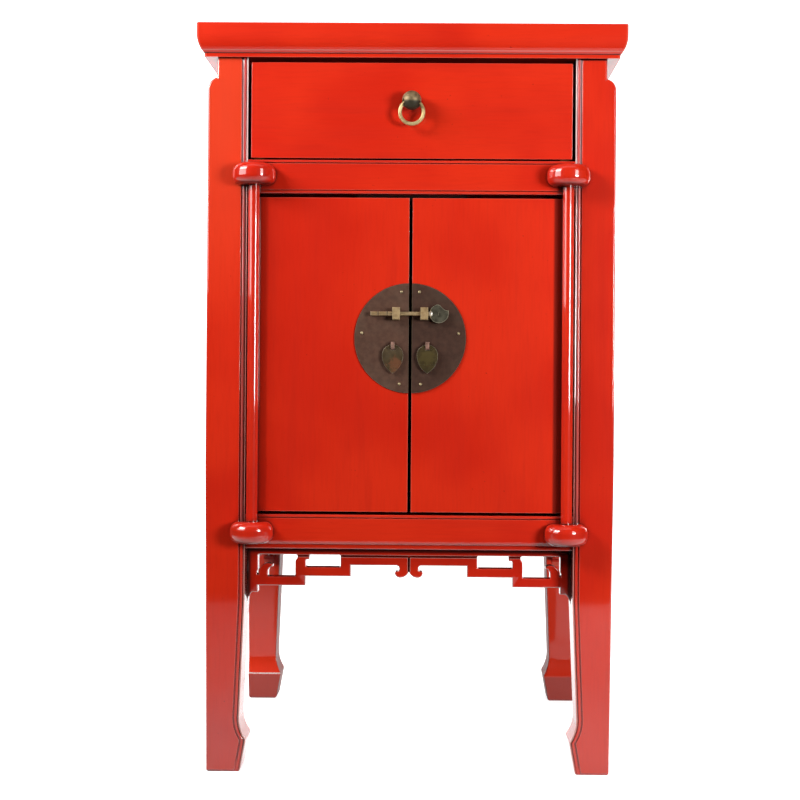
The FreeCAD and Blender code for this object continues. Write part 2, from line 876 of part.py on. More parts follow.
def fret_second_opening(half_span):
    """The shallower opening nearer the middle, with a small ear in its upper corner."""
    under, first_low, low = fret_levels()
    post = fret_uprights(half_span)[1]
    inner = post - s.fret_second_wide
    corner = s.fret_corner
    ear = post - s.fret_ear_wide
    ear_low = under - s.fret_ear_tall
    return [
        (inner + corner, low),
        (post - corner, low, "h0"),
        (post, low + corner),
        (post, ear_low - corner, "v0"),
        (post - corner, ear_low),
        (ear, ear_low),
        (ear, under),
        (inner + corner, under, "h0"),
        (inner, under - corner),
        (inner, low + corner, "v0"),
    ]


def fret_groove(half_span):
    """The carved line under the top bar, and the one that parts the double curl."""
    under = fret_levels()[0]
    level = under - s.fret_groove
    low = s.leg_open - s.fret_middle_tall - s.fret_curl_drop
    reach = fret_uprights(half_span)[0]
    half = s.fret_groove / 2
    return [
        (-half, low),
        (half, low),
        (half, level),
        (reach, level),
        (reach, under),
        (-reach, under),
        (-reach, level),
        (-half, level),
    ]


def make_apron(name, plane, origin, groove_origin, half_span):
    loops = [fret_outer(half_span)]
    for sign in SIDES.values():
        loops.append(mirrored(fret_first_opening(half_span), sign))
        loops.append(mirrored(fret_second_opening(half_span), sign))
    blank = pad(f"{name}_fret", plane, origin, loops, s.fret_thick)
    groove = pad(f"{name}_groove", plane, groove_origin, [fret_groove(half_span)], s.fret_groove_deep)
    keep(cut(f"{name}_cut", blank, groove), name)


def make_aprons():
    face = front + s.fret_set
    rear = (ZERO, face + s.fret_thick, ZERO)
    make_apron("apron_front", "XZ_Plane", rear, (ZERO, face + s.fret_groove_deep, ZERO), leg_inner)
    face = half_width - s.fret_set
    half_span = half_depth - s.leg_width
    rear = (face - s.fret_thick, middle, ZERO)
    make_apron("apron_right", "YZ_Plane", rear, (face - s.fret_groove_deep, middle, ZERO), half_span)
    make_apron("apron_left", "YZ_Plane", (-face, middle, ZERO), (-face, middle, ZERO), half_span)


# Pivot drums and hinge posts
def drum_levels():
    return {
        "upper": (door_head + drawer_floor) / 2 + s.drum_rise,
        "lower": (s.leg_open + sill) / 2 - s.drum_drop,
    }


def post_ends():
    """The levels of the post's two shoulders, just clear of the drums."""
    levels = drum_levels()
    low = levels["lower"] + s.drum_height / 2 + s.running_gap
    high = levels["upper"] - s.drum_height / 2 - s.running_gap
    return low, high


def post_reliefs(level):
    """Shallow hollows in a front rail where the two posts turn past it, up to the drums."""
    low, high = post_ends()
    ends = {"upper": (door_head, high + s.running_gap), "lower": (low - s.running_gap, sill)}
    foot, head = ends[level]
    width = s.post_width + s.running_gap * 2
    return [
        rod(f"post_relief_{level}_{side}", "z", (post_x * sign, post_y, foot), width, head - foot)
        for side, sign in SIDES.items()
    ]


def make_drum(level, side):
    name = f"pivot_drum_{level}_{side}"
    x = post_x * SIDES[side]
    z = drum_levels()[level]
    radius, half = s.drum_width / 2, s.drum_height / 2
    loop = [
        (ZERO, -half),
        (radius - s.drum_round, -half, "h0"),
        (radius, s.drum_round - half),
        (radius, half - s.drum_round, "v0"),
        (radius - s.drum_round, half),
        (ZERO, half),
    ]
    bun = turned(f"{name}_bun", "XZ_Plane", (x, post_y, z), loop, "V_Axis")
    flat = box(
        f"{name}_flat",
        (x - s.drum_width, x + s.drum_width),
        (front, front + s.drum_width),
        (z - s.drum_height, z + s.drum_height),
    )
    low, high = post_ends()
    depth = s.pivot_long + s.running_gap
    foot = high - s.running_gap if level == "upper" else low - depth
    bore = rod(
        f"{name}_bore", "z", (x, post_y, foot), s.pivot_width + s.running_gap * 2, depth + s.running_gap
    )
    block = cut(f"{name}_block", bun, flat, bore)
    peg_x = (post_x - s.drum_peg_inset) * SIDES[side]
    peg_root = front - s.drum_peg_root
    peg = rod(
        f"{name}_peg", "y", (peg_x, peg_root, z), s.drum_peg_width, s.drum_peg_root + s.drum_peg_long
    )
    keep(fuse(f"{name}_whole", block, peg), name)
    return peg


def make_post(side):
    low, high = post_ends()
    pivot, radius = s.pivot_width / 2, s.post_width / 2
    loop = [
        (ZERO, low - s.pivot_long),
        (pivot, low - s.pivot_long),
        (pivot, low),
        (radius, low),
        (radius, high),
        (pivot, high),
        (pivot, high + s.pivot_long),
        (ZERO, high + s.pivot_long),
    ]
    foot = (post_x * SIDES[side], post_y, ZERO)
    post = turned(f"hinge_post_{side}_turned", "XZ_Plane", foot, loop, "V_Axis")
    keep(post, f"hinge_post_{side}")


# Doors
def make_door(side):
    sign = SIDES[side]
    low, high = sill + s.door_gap, door_head - s.door_head_gap
    meeting = s.door_meeting_gap / 2
    outer = leg_inner - s.door_side_gap
    rear = front + s.door_thick
    plan = [(meeting, front), (outer, front), (outer, rear), (meeting + s.door_bevel, rear)]
    board = pad(f"door_panel_{side}_board", "XY_Plane", (ZERO, ZERO, low), [mirrored(plan, sign)], high - low)
    seat = rod(
        f"door_seat_{side}",
        "z",
        (post_x * sign, post_y, low),
        s.post_width + s.seat_gap * 2,
        high - low,
    )
    x = ordered(sign, meeting + s.batten_end, outer - s.batten_end)
    y = (rear - s.batten_let_in, rear - s.batten_let_in + s.batten_thick)
    batten_low, batten_high = low + s.batten_inset, high - s.batten_inset
    battens = [
        box(f"door_batten_low_{side}", x, y, (batten_low, batten_low + s.batten_height)),
        box(f"door_batten_high_{side}", x, y, (batten_high - s.batten_height, batten_high)),
    ]
    keep(cut(f"door_panel_{side}_cut", board, seat, *battens), f"door_panel_{side}")
    keep(group(f"door_battens_{side}_pair", *battens), f"door_battens_{side}")


def make_door_stop():
    y = (front + s.door_thick + s.running_gap, front + s.rail_depth)
    bar = box("door_stop_bar", plus_minus(s.stop_length / 2), y, (door_head - s.stop_height, door_head))
    keep(bar, "door_stop")


# Lock plate, its nails and staples
def make_plate(side):
    sign = SIDES[side]
    edge = s.door_meeting_gap / 2
    radius = s.plate_width / 2
    inside = edge - s.plate_shift
    chord = root(radius * radius - inside * inside)
    loop = [
        (edge, plate_z - chord, "v1"),
        (radius + s.plate_shift, plate_z, "v0"),
        (edge, plate_z + chord),
    ]
    seat = (ZERO, front, ZERO)
    plate = pad(f"lock_plate_{side}_half", "XZ_Plane", seat, [mirrored(loop, sign)], s.plate_thick)
    keep(plate, f"lock_plate_{side}")
    spots = [
        (s.nail_high_x, s.nail_high_z),
        (s.nail_side_x, s.nail_side_z),
        (s.nail_low_x, -s.nail_low_z),
    ]
    nails = []
    for number, (x, z) in enumerate(spots):
        nail = doc.addObject("Part::Sphere", f"plate_nail_{side}_{number}")
        nail.Angle1 = 0
        nail.setExpression("Radius", (s.nail_width / 2).formula)
        nails.append(put(nail, "-y", (x * sign, plate_face, plate_z + z)))
    keep(group(f"plate_nails_{side}_set", *nails), f"plate_nails_{side}")


def lock_eye():
    """The y of the lock pin's axis, in front of the plate, and the eye's inner width."""
    bore = s.pin_tail_width + s.running_gap * 2
    return plate_face - s.lock_staple_foot - bore / 2, bore


def make_lock_staple(side):
    sign = SIDES[side]
    eye_y, bore = lock_eye()
    z = plate_z + s.lock_staple_z
    face = eye_y - bore / 2 - s.lock_staple_wall
    tall = s.lock_staple_tall / 2
    corner = s.lock_staple_round
    loop = [
        (plate_face, -tall),
        (plate_face, tall),
        (face + corner, tall, "h0"),
        (face, tall - corner),
        (face, corner - tall, "v0"),
        (face + corner, -tall),
    ]
    centre = s.lock_staple_x * sign
    start = centre - s.lock_staple_wide / 2
    strap = pad(f"lock_staple_{side}_strap", "YZ_Plane", (start, ZERO, z), [loop], s.lock_staple_wide)
    hole = rod(f"lock_staple_{side}_hole", "x", (start, eye_y, z), bore, s.lock_staple_wide)
    keep(cut(f"lock_staple_{side}_cut", strap, hole), f"lock_staple_{side}")


def pull_eye():
    """Where the pull staple's loop stands in front of the plate, and its outer radius."""
    radius = s.pull_staple_bore / 2 + s.pull_staple_wall
    return plate_face - radius, radius


def make_pull_staple(side):
    """A strap bent into a long loop that stands on the plate."""
    centre = s.pull_staple_x * SIDES[side]
    start = (centre - s.pull_staple_wide / 2, ZERO, plate_z - s.pull_staple_z)
    eye_y, radius = pull_eye()
    reach = s.pull_staple_tall / 2
    bore = s.pull_staple_bore / 2
    straight = reach - radius
    loop = [
        (plate_face, -reach),
        (plate_face, reach),
        (eye_y, reach, "h0"),
        (eye_y - radius, straight),
        (eye_y - radius, -straight, "v0"),
        (eye_y, -reach),
    ]
    eye = [
        (eye_y + bore, -straight),
        (eye_y + bore, straight, "v0"),
        (eye_y, straight + bore, "h0"),
        (eye_y - bore, straight),
        (eye_y - bore, -straight, "v0"),
        (eye_y, -straight - bore, "h0"),
    ]
    strap = pad(f"pull_staple_{side}_strap", "YZ_Plane", start, [loop, eye], s.pull_staple_wide)
    keep(strap, f"pull_staple_{side}")


def make_leaf(side):
    """A leaf-shaped pull whose top bar hangs in the staple's loop."""
    centre = s.pull_staple_x * SIDES[side]
    eye_y = pull_eye()[0]
    z = plate_z - s.pull_staple_z
    half = s.leaf_wide / 2
    top = s.leaf_bridge / 2
    wide_z = top - half
    loop = [
        (ZERO, top - s.leaf_long, "v1"),
        (half, wide_z, "v0"),
        (ZERO, top, "h0"),
        (-half, wide_z, "v0"),
    ]
    rear = eye_y + s.leaf_thick / 2
    blade = pad(f"leaf_pull_{side}_blade", "XZ_Plane", (centre, rear, z), [loop], s.leaf_thick)
    slot_half = s.pull_staple_wide / 2 + s.leaf_gap
    slot = box(
        f"leaf_pull_{side}_slot",
        (centre - slot_half, centre + slot_half),
        (rear - s.leaf_thick, rear),
        (z - s.pull_staple_tall / 2 - s.leaf_gap, z - top),
    )
    keep(cut(f"leaf_pull_{side}_cut", blade, slot), f"leaf_pull_{side}")


def make_lock_pin():
    """A sliding pin with a thicker grooved tail, a ball neck and a flat bird-shaped head."""
    axis_y = lock_eye()[0]
    z = plate_z + s.lock_staple_z
    thick = s.pin_tail_width / 2
    waist = thick - s.pin_groove_deep
    profile = [(ZERO, ZERO), (s.pin_tail_long, ZERO), (s.pin_tail_long, thick)]
    for start in (s.pin_groove_second, s.pin_groove_first):
        end = start + s.pin_groove
        profile += [(end, thick), (end, waist), (start, waist), (start, thick)]
    profile.append((ZERO, thick))
    tail = turned("lock_pin_tail", "XZ_Plane", (-s.pin_tail_x, axis_y, z), profile, "H_Axis")
    shaft_start = s.pin_tail_long - s.pin_tail_x
    shaft = rod("lock_pin_shaft", "x", (shaft_start, axis_y, z), s.pin_width, s.pin_head_x - shaft_start)
    neck = doc.addObject("Part::Sphere", "lock_pin_neck")
    neck.setExpression("Radius", (s.pin_neck_width / 2).formula)
    put(neck, "z", (s.pin_neck_x, axis_y, z))
    radius = s.pin_head_width / 2
    loop = [
        (ZERO, -radius, "h0"),
        (-radius, ZERO, "v0"),
        (-s.pin_crest_x, radius, "h0"),
        (s.pin_nape_x, s.pin_nape_rise, "h1"),
        (s.pin_bill_long, s.pin_bill_rise, "h1"),
    ]
    head_back = (s.pin_head_x, axis_y + s.pin_head_thick / 2, z)
    head = pad("lock_pin_head", "XZ_Plane", head_back, [loop], s.pin_head_thick)
    keep(fuse("lock_pin_whole", tail, shaft, neck, head), "lock_pin")


# Drawer and its ring pull
def make_drawer():
    half = leg_inner - s.drawer_gap_side
    low, high = drawer_floor + s.drawer_gap_bottom, leg_top - s.drawer_gap_top
    rear = front + s.drawer_front_thick
    board = box("drawer_front_board", plus_minus(half), (front, rear), (low, high))
    outer = half - s.drawer_side_inset
    inner = outer - s.drawer_side_thick
    seat = drawer_floor + s.running_gap
    side_y = (rear - s.drawer_lap, bearer_front - s.drawer_back_gap)
    side_z = (seat, seat + s.drawer_side_height)
    boards = {side: box(f"drawer_side_{side}_board", ordered(sign, inner, outer), side_y, side_z)
              for side, sign in SIDES.items()}
    back_y = (side_y[1] - s.drawer_side_thick, side_y[1])
    bottom_low = low + s.drawer_bottom_lift
    bottom_z = (bottom_low, bottom_low + s.drawer_bottom_thick)
    bottom = box(
        "drawer_bottom_board",
        plus_minus(inner + s.drawer_groove),
        (rear - s.drawer_groove, back_y[1]),
        bottom_z,
    )
    keep(bottom, "drawer_bottom")
    keep(cut("drawer_front_cut", board, bottom, *boards.values()), "drawer_front")
    for side, side_board in boards.items():
        keep(cut(f"drawer_side_{side}_cut", side_board, bottom), f"drawer_side_{side}")
    rest = box("drawer_back_board", plus_minus(inner), back_y, (bottom_z[1], side_z[1]))
    keep(rest, "drawer_back")
    return outer


def make_runners(drawer_outer):
    """L-shaped runners: the foot carries a drawer side, the upstand guides it."""
    start = front + s.rail_depth
    near = leg_inner - s.runner_wide
    guide = drawer_outer + s.guide_gap
    low = drawer_floor - s.runner_thick
    loop = [
        (near, low),
        (leg_inner, low),
        (leg_inner, drawer_floor + s.guide_height),
        (guide, drawer_floor + s.guide_height),
        (guide, drawer_floor),
        (near, drawer_floor),
    ]
    for side, sign in SIDES.items():
        name = f"drawer_runner_{side}"
        rear_end = (ZERO, bearer_front, ZERO)
        length = bearer_front - start
        keep(pad(f"{name}_bar", "XZ_Plane", rear_end, [mirrored(loop, sign)], length), name)


def make_ring():
    """A ball boss on a stem, pierced by a waisted hole in which the ring swings."""
    ball_y = front - s.boss_stand
    z = pull_z
    radius, stem = s.boss_width / 2, s.boss_stem_width / 2
    shoulder = root(radius * radius - stem * stem)
    stem_end = s.boss_stand
    loop = [
        (-radius, ZERO, "v0"),
        (ZERO, radius, "h0"),
        (shoulder, stem),
        (stem_end, stem),
        (stem_end, ZERO),
    ]
    ball = turned("ring_boss_ball", "YZ_Plane", (ZERO, ball_y, z), loop, "H_Axis")
    ring_radius = (s.ring_width - s.ring_wire) / 2
    waist = s.ring_wire / 2 + s.running_gap
    bend = ring_radius - waist
    mouth_x = root(bend * bend - (ring_radius - radius) * (ring_radius - radius))
    end_x = radius + s.running_gap
    hole_loop = [
        (-end_x, ZERO),
        (end_x, ZERO),
        (end_x, radius),
        (mouth_x, radius, "h1"),
        (ZERO, waist, "h0"),
        (-mouth_x, radius),
        (-end_x, radius),
    ]
    hole = turned("ring_boss_hole", "XZ_Plane", (ZERO, ball_y, z), hole_loop, "H_Axis")
    keep(cut("ring_boss_cut", ball, hole), "ring_boss")
    ring = doc.addObject("Part::Torus", "ring_pull_hoop")
    ring.setExpression("Radius1", ring_radius.formula)
    ring.setExpression("Radius2", (s.ring_wire / 2).formula)
    keep(put(ring, "y", (ZERO, ball_y, z - ring_radius)), "ring_pull")


def check():
    """Stop if any object failed or any sub-part is not a valid solid."""
    failed = [item.Name for item in doc.Objects if {"Invalid", "Error"} & set(item.State)]
    if failed:
        raise RuntimeError(f"failed objects: {failed}")
    for part in parts:
        if part.Shape.isNull() or not part.Shape.isValid() or not part.Shape.Solids:
            raise RuntimeError(f"no valid solid: {part.Label}")


def main():
    sockets = {(end, side): [] for end in ("front", "back") for side in SIDES}
    pegs = {level: [make_drum(level, side) for side in SIDES] for level in drum_levels()}
    panels = make_panels(sockets)
    make_rails(panels, pegs, sockets)
    tenons = {end: {side: leg_tenon(end, side) for side in SIDES} for end in ("front", "back")}
    for (end, side), tools in sockets.items():
        make_leg(end, side, tenons[end][side], tools)
    make_top({end: list(pair.values()) for end, pair in tenons.items()})
    make_aprons()
    make_runners(make_drawer())
    make_ring()
    make_door_stop()
    for side in SIDES:
        make_door(side)
        make_post(side)
        make_plate(side)
        make_lock_staple(side)
        make_pull_staple(side)
        make_leaf(side)
    make_lock_pin()
    doc.recompute()
    check()
    os.makedirs("parts", exist_ok=True)
    for part in parts:
        part.Shape.exportStep(f"parts/{part.Label}.step")


main()
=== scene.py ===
"""The looks of a red lacquer side cabinet, dressed on its CAD frame. All lengths are metres."""

import math

import bmesh
import bpy
from mathutils import Matrix, Vector


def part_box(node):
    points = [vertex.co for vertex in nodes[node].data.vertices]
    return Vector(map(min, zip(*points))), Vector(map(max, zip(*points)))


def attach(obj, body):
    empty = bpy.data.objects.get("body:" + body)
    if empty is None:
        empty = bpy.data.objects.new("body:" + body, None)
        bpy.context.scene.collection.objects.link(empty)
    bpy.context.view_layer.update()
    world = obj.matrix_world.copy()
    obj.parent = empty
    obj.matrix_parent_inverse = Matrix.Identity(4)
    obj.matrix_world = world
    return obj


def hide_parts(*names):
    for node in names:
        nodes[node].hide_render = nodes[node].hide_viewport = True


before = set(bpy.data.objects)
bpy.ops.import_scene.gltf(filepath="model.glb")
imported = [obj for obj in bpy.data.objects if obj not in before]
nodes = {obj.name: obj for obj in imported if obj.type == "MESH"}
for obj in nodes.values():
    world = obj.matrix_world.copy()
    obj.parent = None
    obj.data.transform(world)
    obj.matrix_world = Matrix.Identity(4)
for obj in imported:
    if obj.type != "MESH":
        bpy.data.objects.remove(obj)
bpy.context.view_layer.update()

MM = 0.001
X, Y, Z = range(3)
FULL_TURN = 360


def srgb(red, green, blue):
    """A colour given as the 0-255 values of a screen, as linear light with full alpha."""
    def linear(value):
        share = value / 255
        return share / 12.92 if share <= 0.04045 else ((share + 0.055) / 1.055) ** 2.4
    return (linear(red), linear(green), linear(blue), 1)


# The view of the photograph: where the camera stands and how it is turned (angles in radians), and its
# focal length and centre in pixels.
CAMERA_PLACE = Vector((0.02445, -1.62301, 0.41611))
CAMERA_YAW = 0.0110
CAMERA_PITCH = 0.00234
CAMERA_ROLL = 0.0074
IMAGE_SIDE = 800
FOCAL_LENGTH = 1349.9
CENTRE_X = 417.9
CENTRE_Y = 380.95
SENSOR_WIDTH = 36

# The studio's paper: half its width, its near edge, where the wall stands, and how far that reaches.
PAPER_HALF = 2.2
PAPER_NEAR = -1.3
PAPER_BACK = 1.9
WALL_FOOT = -0.5
WALL_TOP = 3.0

# The glow and the tones of the paper. In reflections, the floor's glow fades out between two places
# before the cabinet.
FLOOR_FADE_NEAR = -0.24
FLOOR_FADE_FAR = -0.74
FLOOR_GLOW = 0.8
WALL_GLOW = 1.4
PAPER_WHITE = srgb(250, 250, 250)
PAPER_SHADE = srgb(248, 248, 248)

# Upright lights: azimuth from the front in degrees, distance, lower and upper edge, width, power in watts.
# The second pair is for the highlights alone.
SOFTBOXES = {
    "left_softbox": (-55, 1.3, 1.0, 1.4, 0.8, 21),
    "right_softbox": (39, 1.7, 0.38, 0.8, 0.42, 19),
}
HIGHLIGHTS = {
    "left_shine": (-55, 1.32, 0.58, 1.9, 0.8, 26),
    "right_shine": (39, 1.72, 0.36, 1.4, 0.42, 16),
}

# Lights overhead: place, target, width, length, power in watts.
TOP_LIGHT = ((0, -0.5, 1.6), (0, -0.2, 0.6), 1.2, 0.5, 1.5)
ROOF_LIGHT = ((0, 0.3, 1.9), (0, 0.1, 0.8), 1.4, 0.8, 10)

# The pieces of each finish. Any other piece is lacquered with its grain upright.
PIECES_OF = {
    "lacquer_x": ("drawer_front", "drawer_rail", "bottom_rail_front", "bottom_rail_back", "upper_rail_back"),
    "lacquer_y": ("bottom_rail_left", "bottom_rail_right", "upper_rail_left", "upper_rail_right"),
    "top_x": ("top_frame_front", "top_frame_back"),
    "top_y": ("top_frame_left", "top_frame_right"),
    "top_panel": ("top_panel",),
    "front_leg": ("leg_front_left", "leg_front_right"),
    "rear_leg": ("leg_back_left", "leg_back_right"),
    "fret": ("apron_front",),
    "side_fret": ("apron_left", "apron_right"),
    "drum": (
        "pivot_drum_upper_left", "pivot_drum_lower_left", "pivot_drum_upper_right", "pivot_drum_lower_right",
    ),
    "door_left": ("door_panel_left",),
    "door_right": ("door_panel_right",),
    "wood_x": (
        "drawer_back", "drawer_bottom", "runner_bearer", "door_battens_left", "door_battens_right",
        "cupboard_floor",
    ),
    "wood_y": (
        "drawer_side_left", "drawer_side_right", "drawer_runner_left", "drawer_runner_right", "top_brace",
    ),
    "wood_z": ("back_panel",),
    "dark_wood": ("door_stop",),
    # The left plate is painted as the lit copy of one bronze, the right as its shaded copy.
    "plate_left": ("lock_plate_left",),
    "plate_right": ("lock_plate_right",),
    "nail_brass": ("plate_nails_left", "plate_nails_right"),
    "staple_brass": ("lock_staple_left", "lock_staple_right"),
    "copper": ("pull_staple_left", "pull_staple_right"),
    "leaf_left": ("leaf_pull_left",),
    "leaf_right": ("leaf_pull_right",),
    "boss_brass": ("ring_boss",),
    "ring_brass": ("ring_pull",),
    "pin_brass": ("lock_pin",),
}
FINISH_OF = {piece: finish for finish, pieces in PIECES_OF.items() for piece in pieces}
LEGS = PIECES_OF["front_leg"] + PIECES_OF["rear_leg"]
APRONS = PIECES_OF["fret"] + PIECES_OF["side_fret"]

# The stretch of the patterns for a grain along each axis.
GRAIN_ACROSS = (0.08, 1, 1)
GRAIN_DEEP = (1, 0.08, 1)
GRAIN_UP = (1, 1, 0.08)

# Noise patterns: scale in waves to the metre, detail and roughness.
STREAKS = (60, 4, 0.55)
BRUSH_MARKS = (420, 3, 0.6)
CLOUDS = (7, 2, 0.55)
SPECKS = (330, 2, 0.55)
CHIPS = (700, 2, 0.55)
WOOD_CLOUDS = (30, 3, 0.55)
WOOD_FIBRE = (700, 3, 0.6)
WOOD_PORES = (1500, 2, 0.55)
MOTTLE = (180, 5, 0.65)
PATCHES = (35, 3, 0.55)
RAGGED = (160, 4, 0.7)
PAPER_FIBRE = (900, 2, 0.55)
GROWTH_LINES = {"Scale": 22.0, "Distortion": 5.0, "Detail": 3.0, "Detail Scale": 1.4}

# Spans of a pattern, from where it starts to show to where it shows in full.
WOOD_SPAN = (0.3, 0.7)
GROWTH_SPAN = (0.55, 1.0)
FIBRE_SPAN = (0.5, 0.75)
PORE_SPAN = (0.66, 0.74)
MOTTLE_SPAN = (0.3, 0.72)
PATCH_SPAN = (0.4, 0.75)
RIM_SPAN = (0.14, 0.5)
CHIP_SPAN = (0.35, 0.5)
RAGGED_SPAN = (0.2, 0.8)
PAPER_SPAN = (0.3, 0.7)
FACING_SPAN = (0.6, 0.95)
UNDERSIDE_SPAN = (-0.45, -0.05)

# How a pattern is turned to roughness: two values of it, and the roughness at each.
LACQUER_ROUGHNESS = (0.3, 0.8, 0.4, 0.5)
WOOD_ROUGHNESS = (0.2, 0.8, 0.5, 0.75)
METAL_ROUGHNESS_SPAN = (0.3, 0.8)
METAL_ROUGHNESS_GAIN = 0.18

# The relief of a pattern: its depth and its strength.
LACQUER_RELIEF = (0.1 * MM, 0.2)
WOOD_RELIEF = (0.2 * MM, 0.4)
METAL_RELIEF = (0.1 * MM, 0.35)

# The lacquer's layers: the tone, its greatest share and the span of its pattern.
RED = srgb(220, 39, 17)
RED_CLOUDS = (srgb(234, 49, 21), 1.0, (0.35, 0.65))
RED_STREAKS = (srgb(196, 31, 13), 0.3, (0.5, 0.8))
RED_BRUSH = (srgb(190, 30, 13), 0.14, (0.4, 0.75))
RED_SPECKS = (srgb(110, 18, 10), 0.5, (0.74, 0.8))
SOFT_WEAR = (srgb(238, 140, 118), 0.35, (0.16, 0.5))
# Paler edges on the legs and the fret: wear, and a painted highlight of their rounding.
HARD_WEAR_AND_HIGHLIGHT = (srgb(226, 178, 166), 0.75, (0.16, 0.5))
# Painted shade: the next two darken corners, grooves and gaps by how closed in they are.
WIDE_PAINTED_SHADE = (srgb(96, 16, 10), 0.68, (0.18, 0.52))
TIGHT_PAINTED_SHADE = (srgb(30, 10, 8), 0.94, (0.3, 0.7))

# How far from an edge the wear reaches, and from a corner the painted shade.
WEAR_REACH = 1.6 * MM
WIDE_REACH = 20 * MM
TIGHT_REACH = 4 * MM
OCCLUSION_SAMPLES = 8

# The lacquer's gloss where it is full, where it is dull, and on a worn rear leg and the worn upper face.
FULL_GLOSS = 1.0
DULL_GLOSS = 0.08
REAR_GLOSS = 0.6
TOP_GLOSS = 0.03

# The tone of painted shade; the doors have a painted post shadow, between these distances from the middle.
PAINTED_SHADE_TONE = srgb(70, 16, 11)
POST_SHADOW_START = 151.5 * MM
POST_SHADOW_END = 154.5 * MM
LEFT_DOOR_SHADOW = 0.2
RIGHT_DOOR_SHADOW = 0.75

# A leg's lower end stays free of painted shade, which comes in between these heights.
UNSHADED_FOOT = (4 * MM, 24 * MM)

# The painted shade, near black, in the corner of a front leg beside the fret. The distances count from
# the fret's end, foot and face.
CORNER_SHADE_TONE = (srgb(40, 15, 11), 0.88)
CORNER_START = 0.3 * MM
CORNER_END = 0.9 * MM
CORNER_LIFT = 10 * MM
CORNER_DEPTH = 18 * MM
CORNER_FADE_UP = 9 * MM
CORNER_FADE_DEEP = 8 * MM

# The painted sheen of the left light on the left front leg's upper part: its heights, and its inner edge
# counted from the fret's end.
SHEEN_TONE = (srgb(250, 84, 46), 0.5)
SHEEN_LOW = 450 * MM
SHEEN_HIGH = 700 * MM
SHEEN_START = 7 * MM
SHEEN_END = 8 * MM
MIDDLE_BLUR = 1 * MM

# The bead of a front leg is rubbed on its crown between two heights, paler also as a painted highlight.
# Above them, beside the drawer, it is worn and painted in bands of highlight. Their edges and the
# crown's count from the fret's end, and the leg's front from the fret's face.
BEAD_LOW = 270 * MM
BEAD_HIGH = 620 * MM
BEAD_FADE = 30 * MM
LEG_FRONT_START = 20.6 * MM
LEG_FRONT_END = 20.2 * MM
CROWN_WEAR_AND_HIGHLIGHT = (srgb(204, 172, 168), 0.22)
CROWN_START = 2.4 * MM
CROWN_END = 5.4 * MM
CROWN_FADE = 0.3 * MM
BAND_SHARE = 0.7
BAND_FADE = 0.15 * MM
BEAD_HIGHLIGHT_BANDS = (
    (0.0 * MM, 1.4 * MM, srgb(228, 212, 210)),
    (1.6 * MM, 4.1 * MM, srgb(206, 60, 58)),
    (4.3 * MM, 6.7 * MM, srgb(160, 126, 128)),
)

# A rear leg: painted brighter than the front's, standing in for light, with painted shade on its inward face,
# brown at its foot, and with chips and a painted highlight on the tip.
REAR_LIGHT_TONE = (srgb(254, 66, 32), 0.5)
INWARD_SHADE_TONE = (srgb(74, 50, 46), 0.7)
HOOF_TONE = (srgb(118, 56, 48), 0.4)
HOOF_TIP = 34 * MM
HOOF_FADE = 3 * MM
HOOF_FRONT = 152.35 * MM
CHIP_AND_HIGHLIGHT_TONE = (srgb(255, 246, 240), 0.95)
CHIP_BELOW = 0.6 * MM
CHIP_ABOVE = 0.8 * MM
CHIP_FADE = 0.4 * MM
CHIP_START = 1.2 * MM
CHIP_END = 2 * MM

# The fret has a painted reflection of the floor on its undersides, and painted shade under the sill and at
# its ends, counted from its own box.
FRET_FLOOR_REFLECTION = (srgb(214, 176, 168), 0.85)
FRET_SHADE = (srgb(34, 14, 11), 0.85)
FRET_SILL_START = 7.5 * MM
FRET_SILL_END = 4 * MM
FRET_SIDE_START = 4.5 * MM
FRET_SIDE_END = 2 * MM

# The splayed band in the top's moulding has a painted highlight line above and a painted shadow line below.
SPLAY_FOOT = 768.6 * MM
SPLAY_TOP = 771.8 * MM
SPLAY_HIGHLIGHT = (srgb(226, 178, 166), 0.25)
SPLAY_HIGHLIGHT_WIDE = 0.9 * MM
SPLAY_SHADOW = (PAINTED_SHADE_TONE, 0.75)
SPLAY_SHADOW_BELOW = 0.2 * MM
SPLAY_SHADOW_ABOVE = 0.5 * MM
SPLAY_FADE = 0.3 * MM

# The painted shade under a drum, counted from its lowest point. It ends a little below that, short of a lower
# drum.
DRUM_SHADE = (PAINTED_SHADE_TONE, 0.8)
DRUM_SHADE_START = 0.8 * MM
DRUM_SHADE_END = 4 * MM
DRUM_SHADE_FLOOR = -2 * MM
DRUM_SHADE_FOOT = -1 * MM

# The tones of the wood (deep, body and dark), and the shares of the dark one in its patterns.
PLAIN_WOOD = (srgb(128, 86, 54), srgb(160, 114, 74), srgb(92, 58, 36))
DARK_WOOD = (srgb(26, 14, 9), srgb(34, 19, 12), srgb(18, 10, 7))
GROWTH_SHARE = 0.5
FIBRE_SHARE = 0.45
PORE_SHARE = 0.6

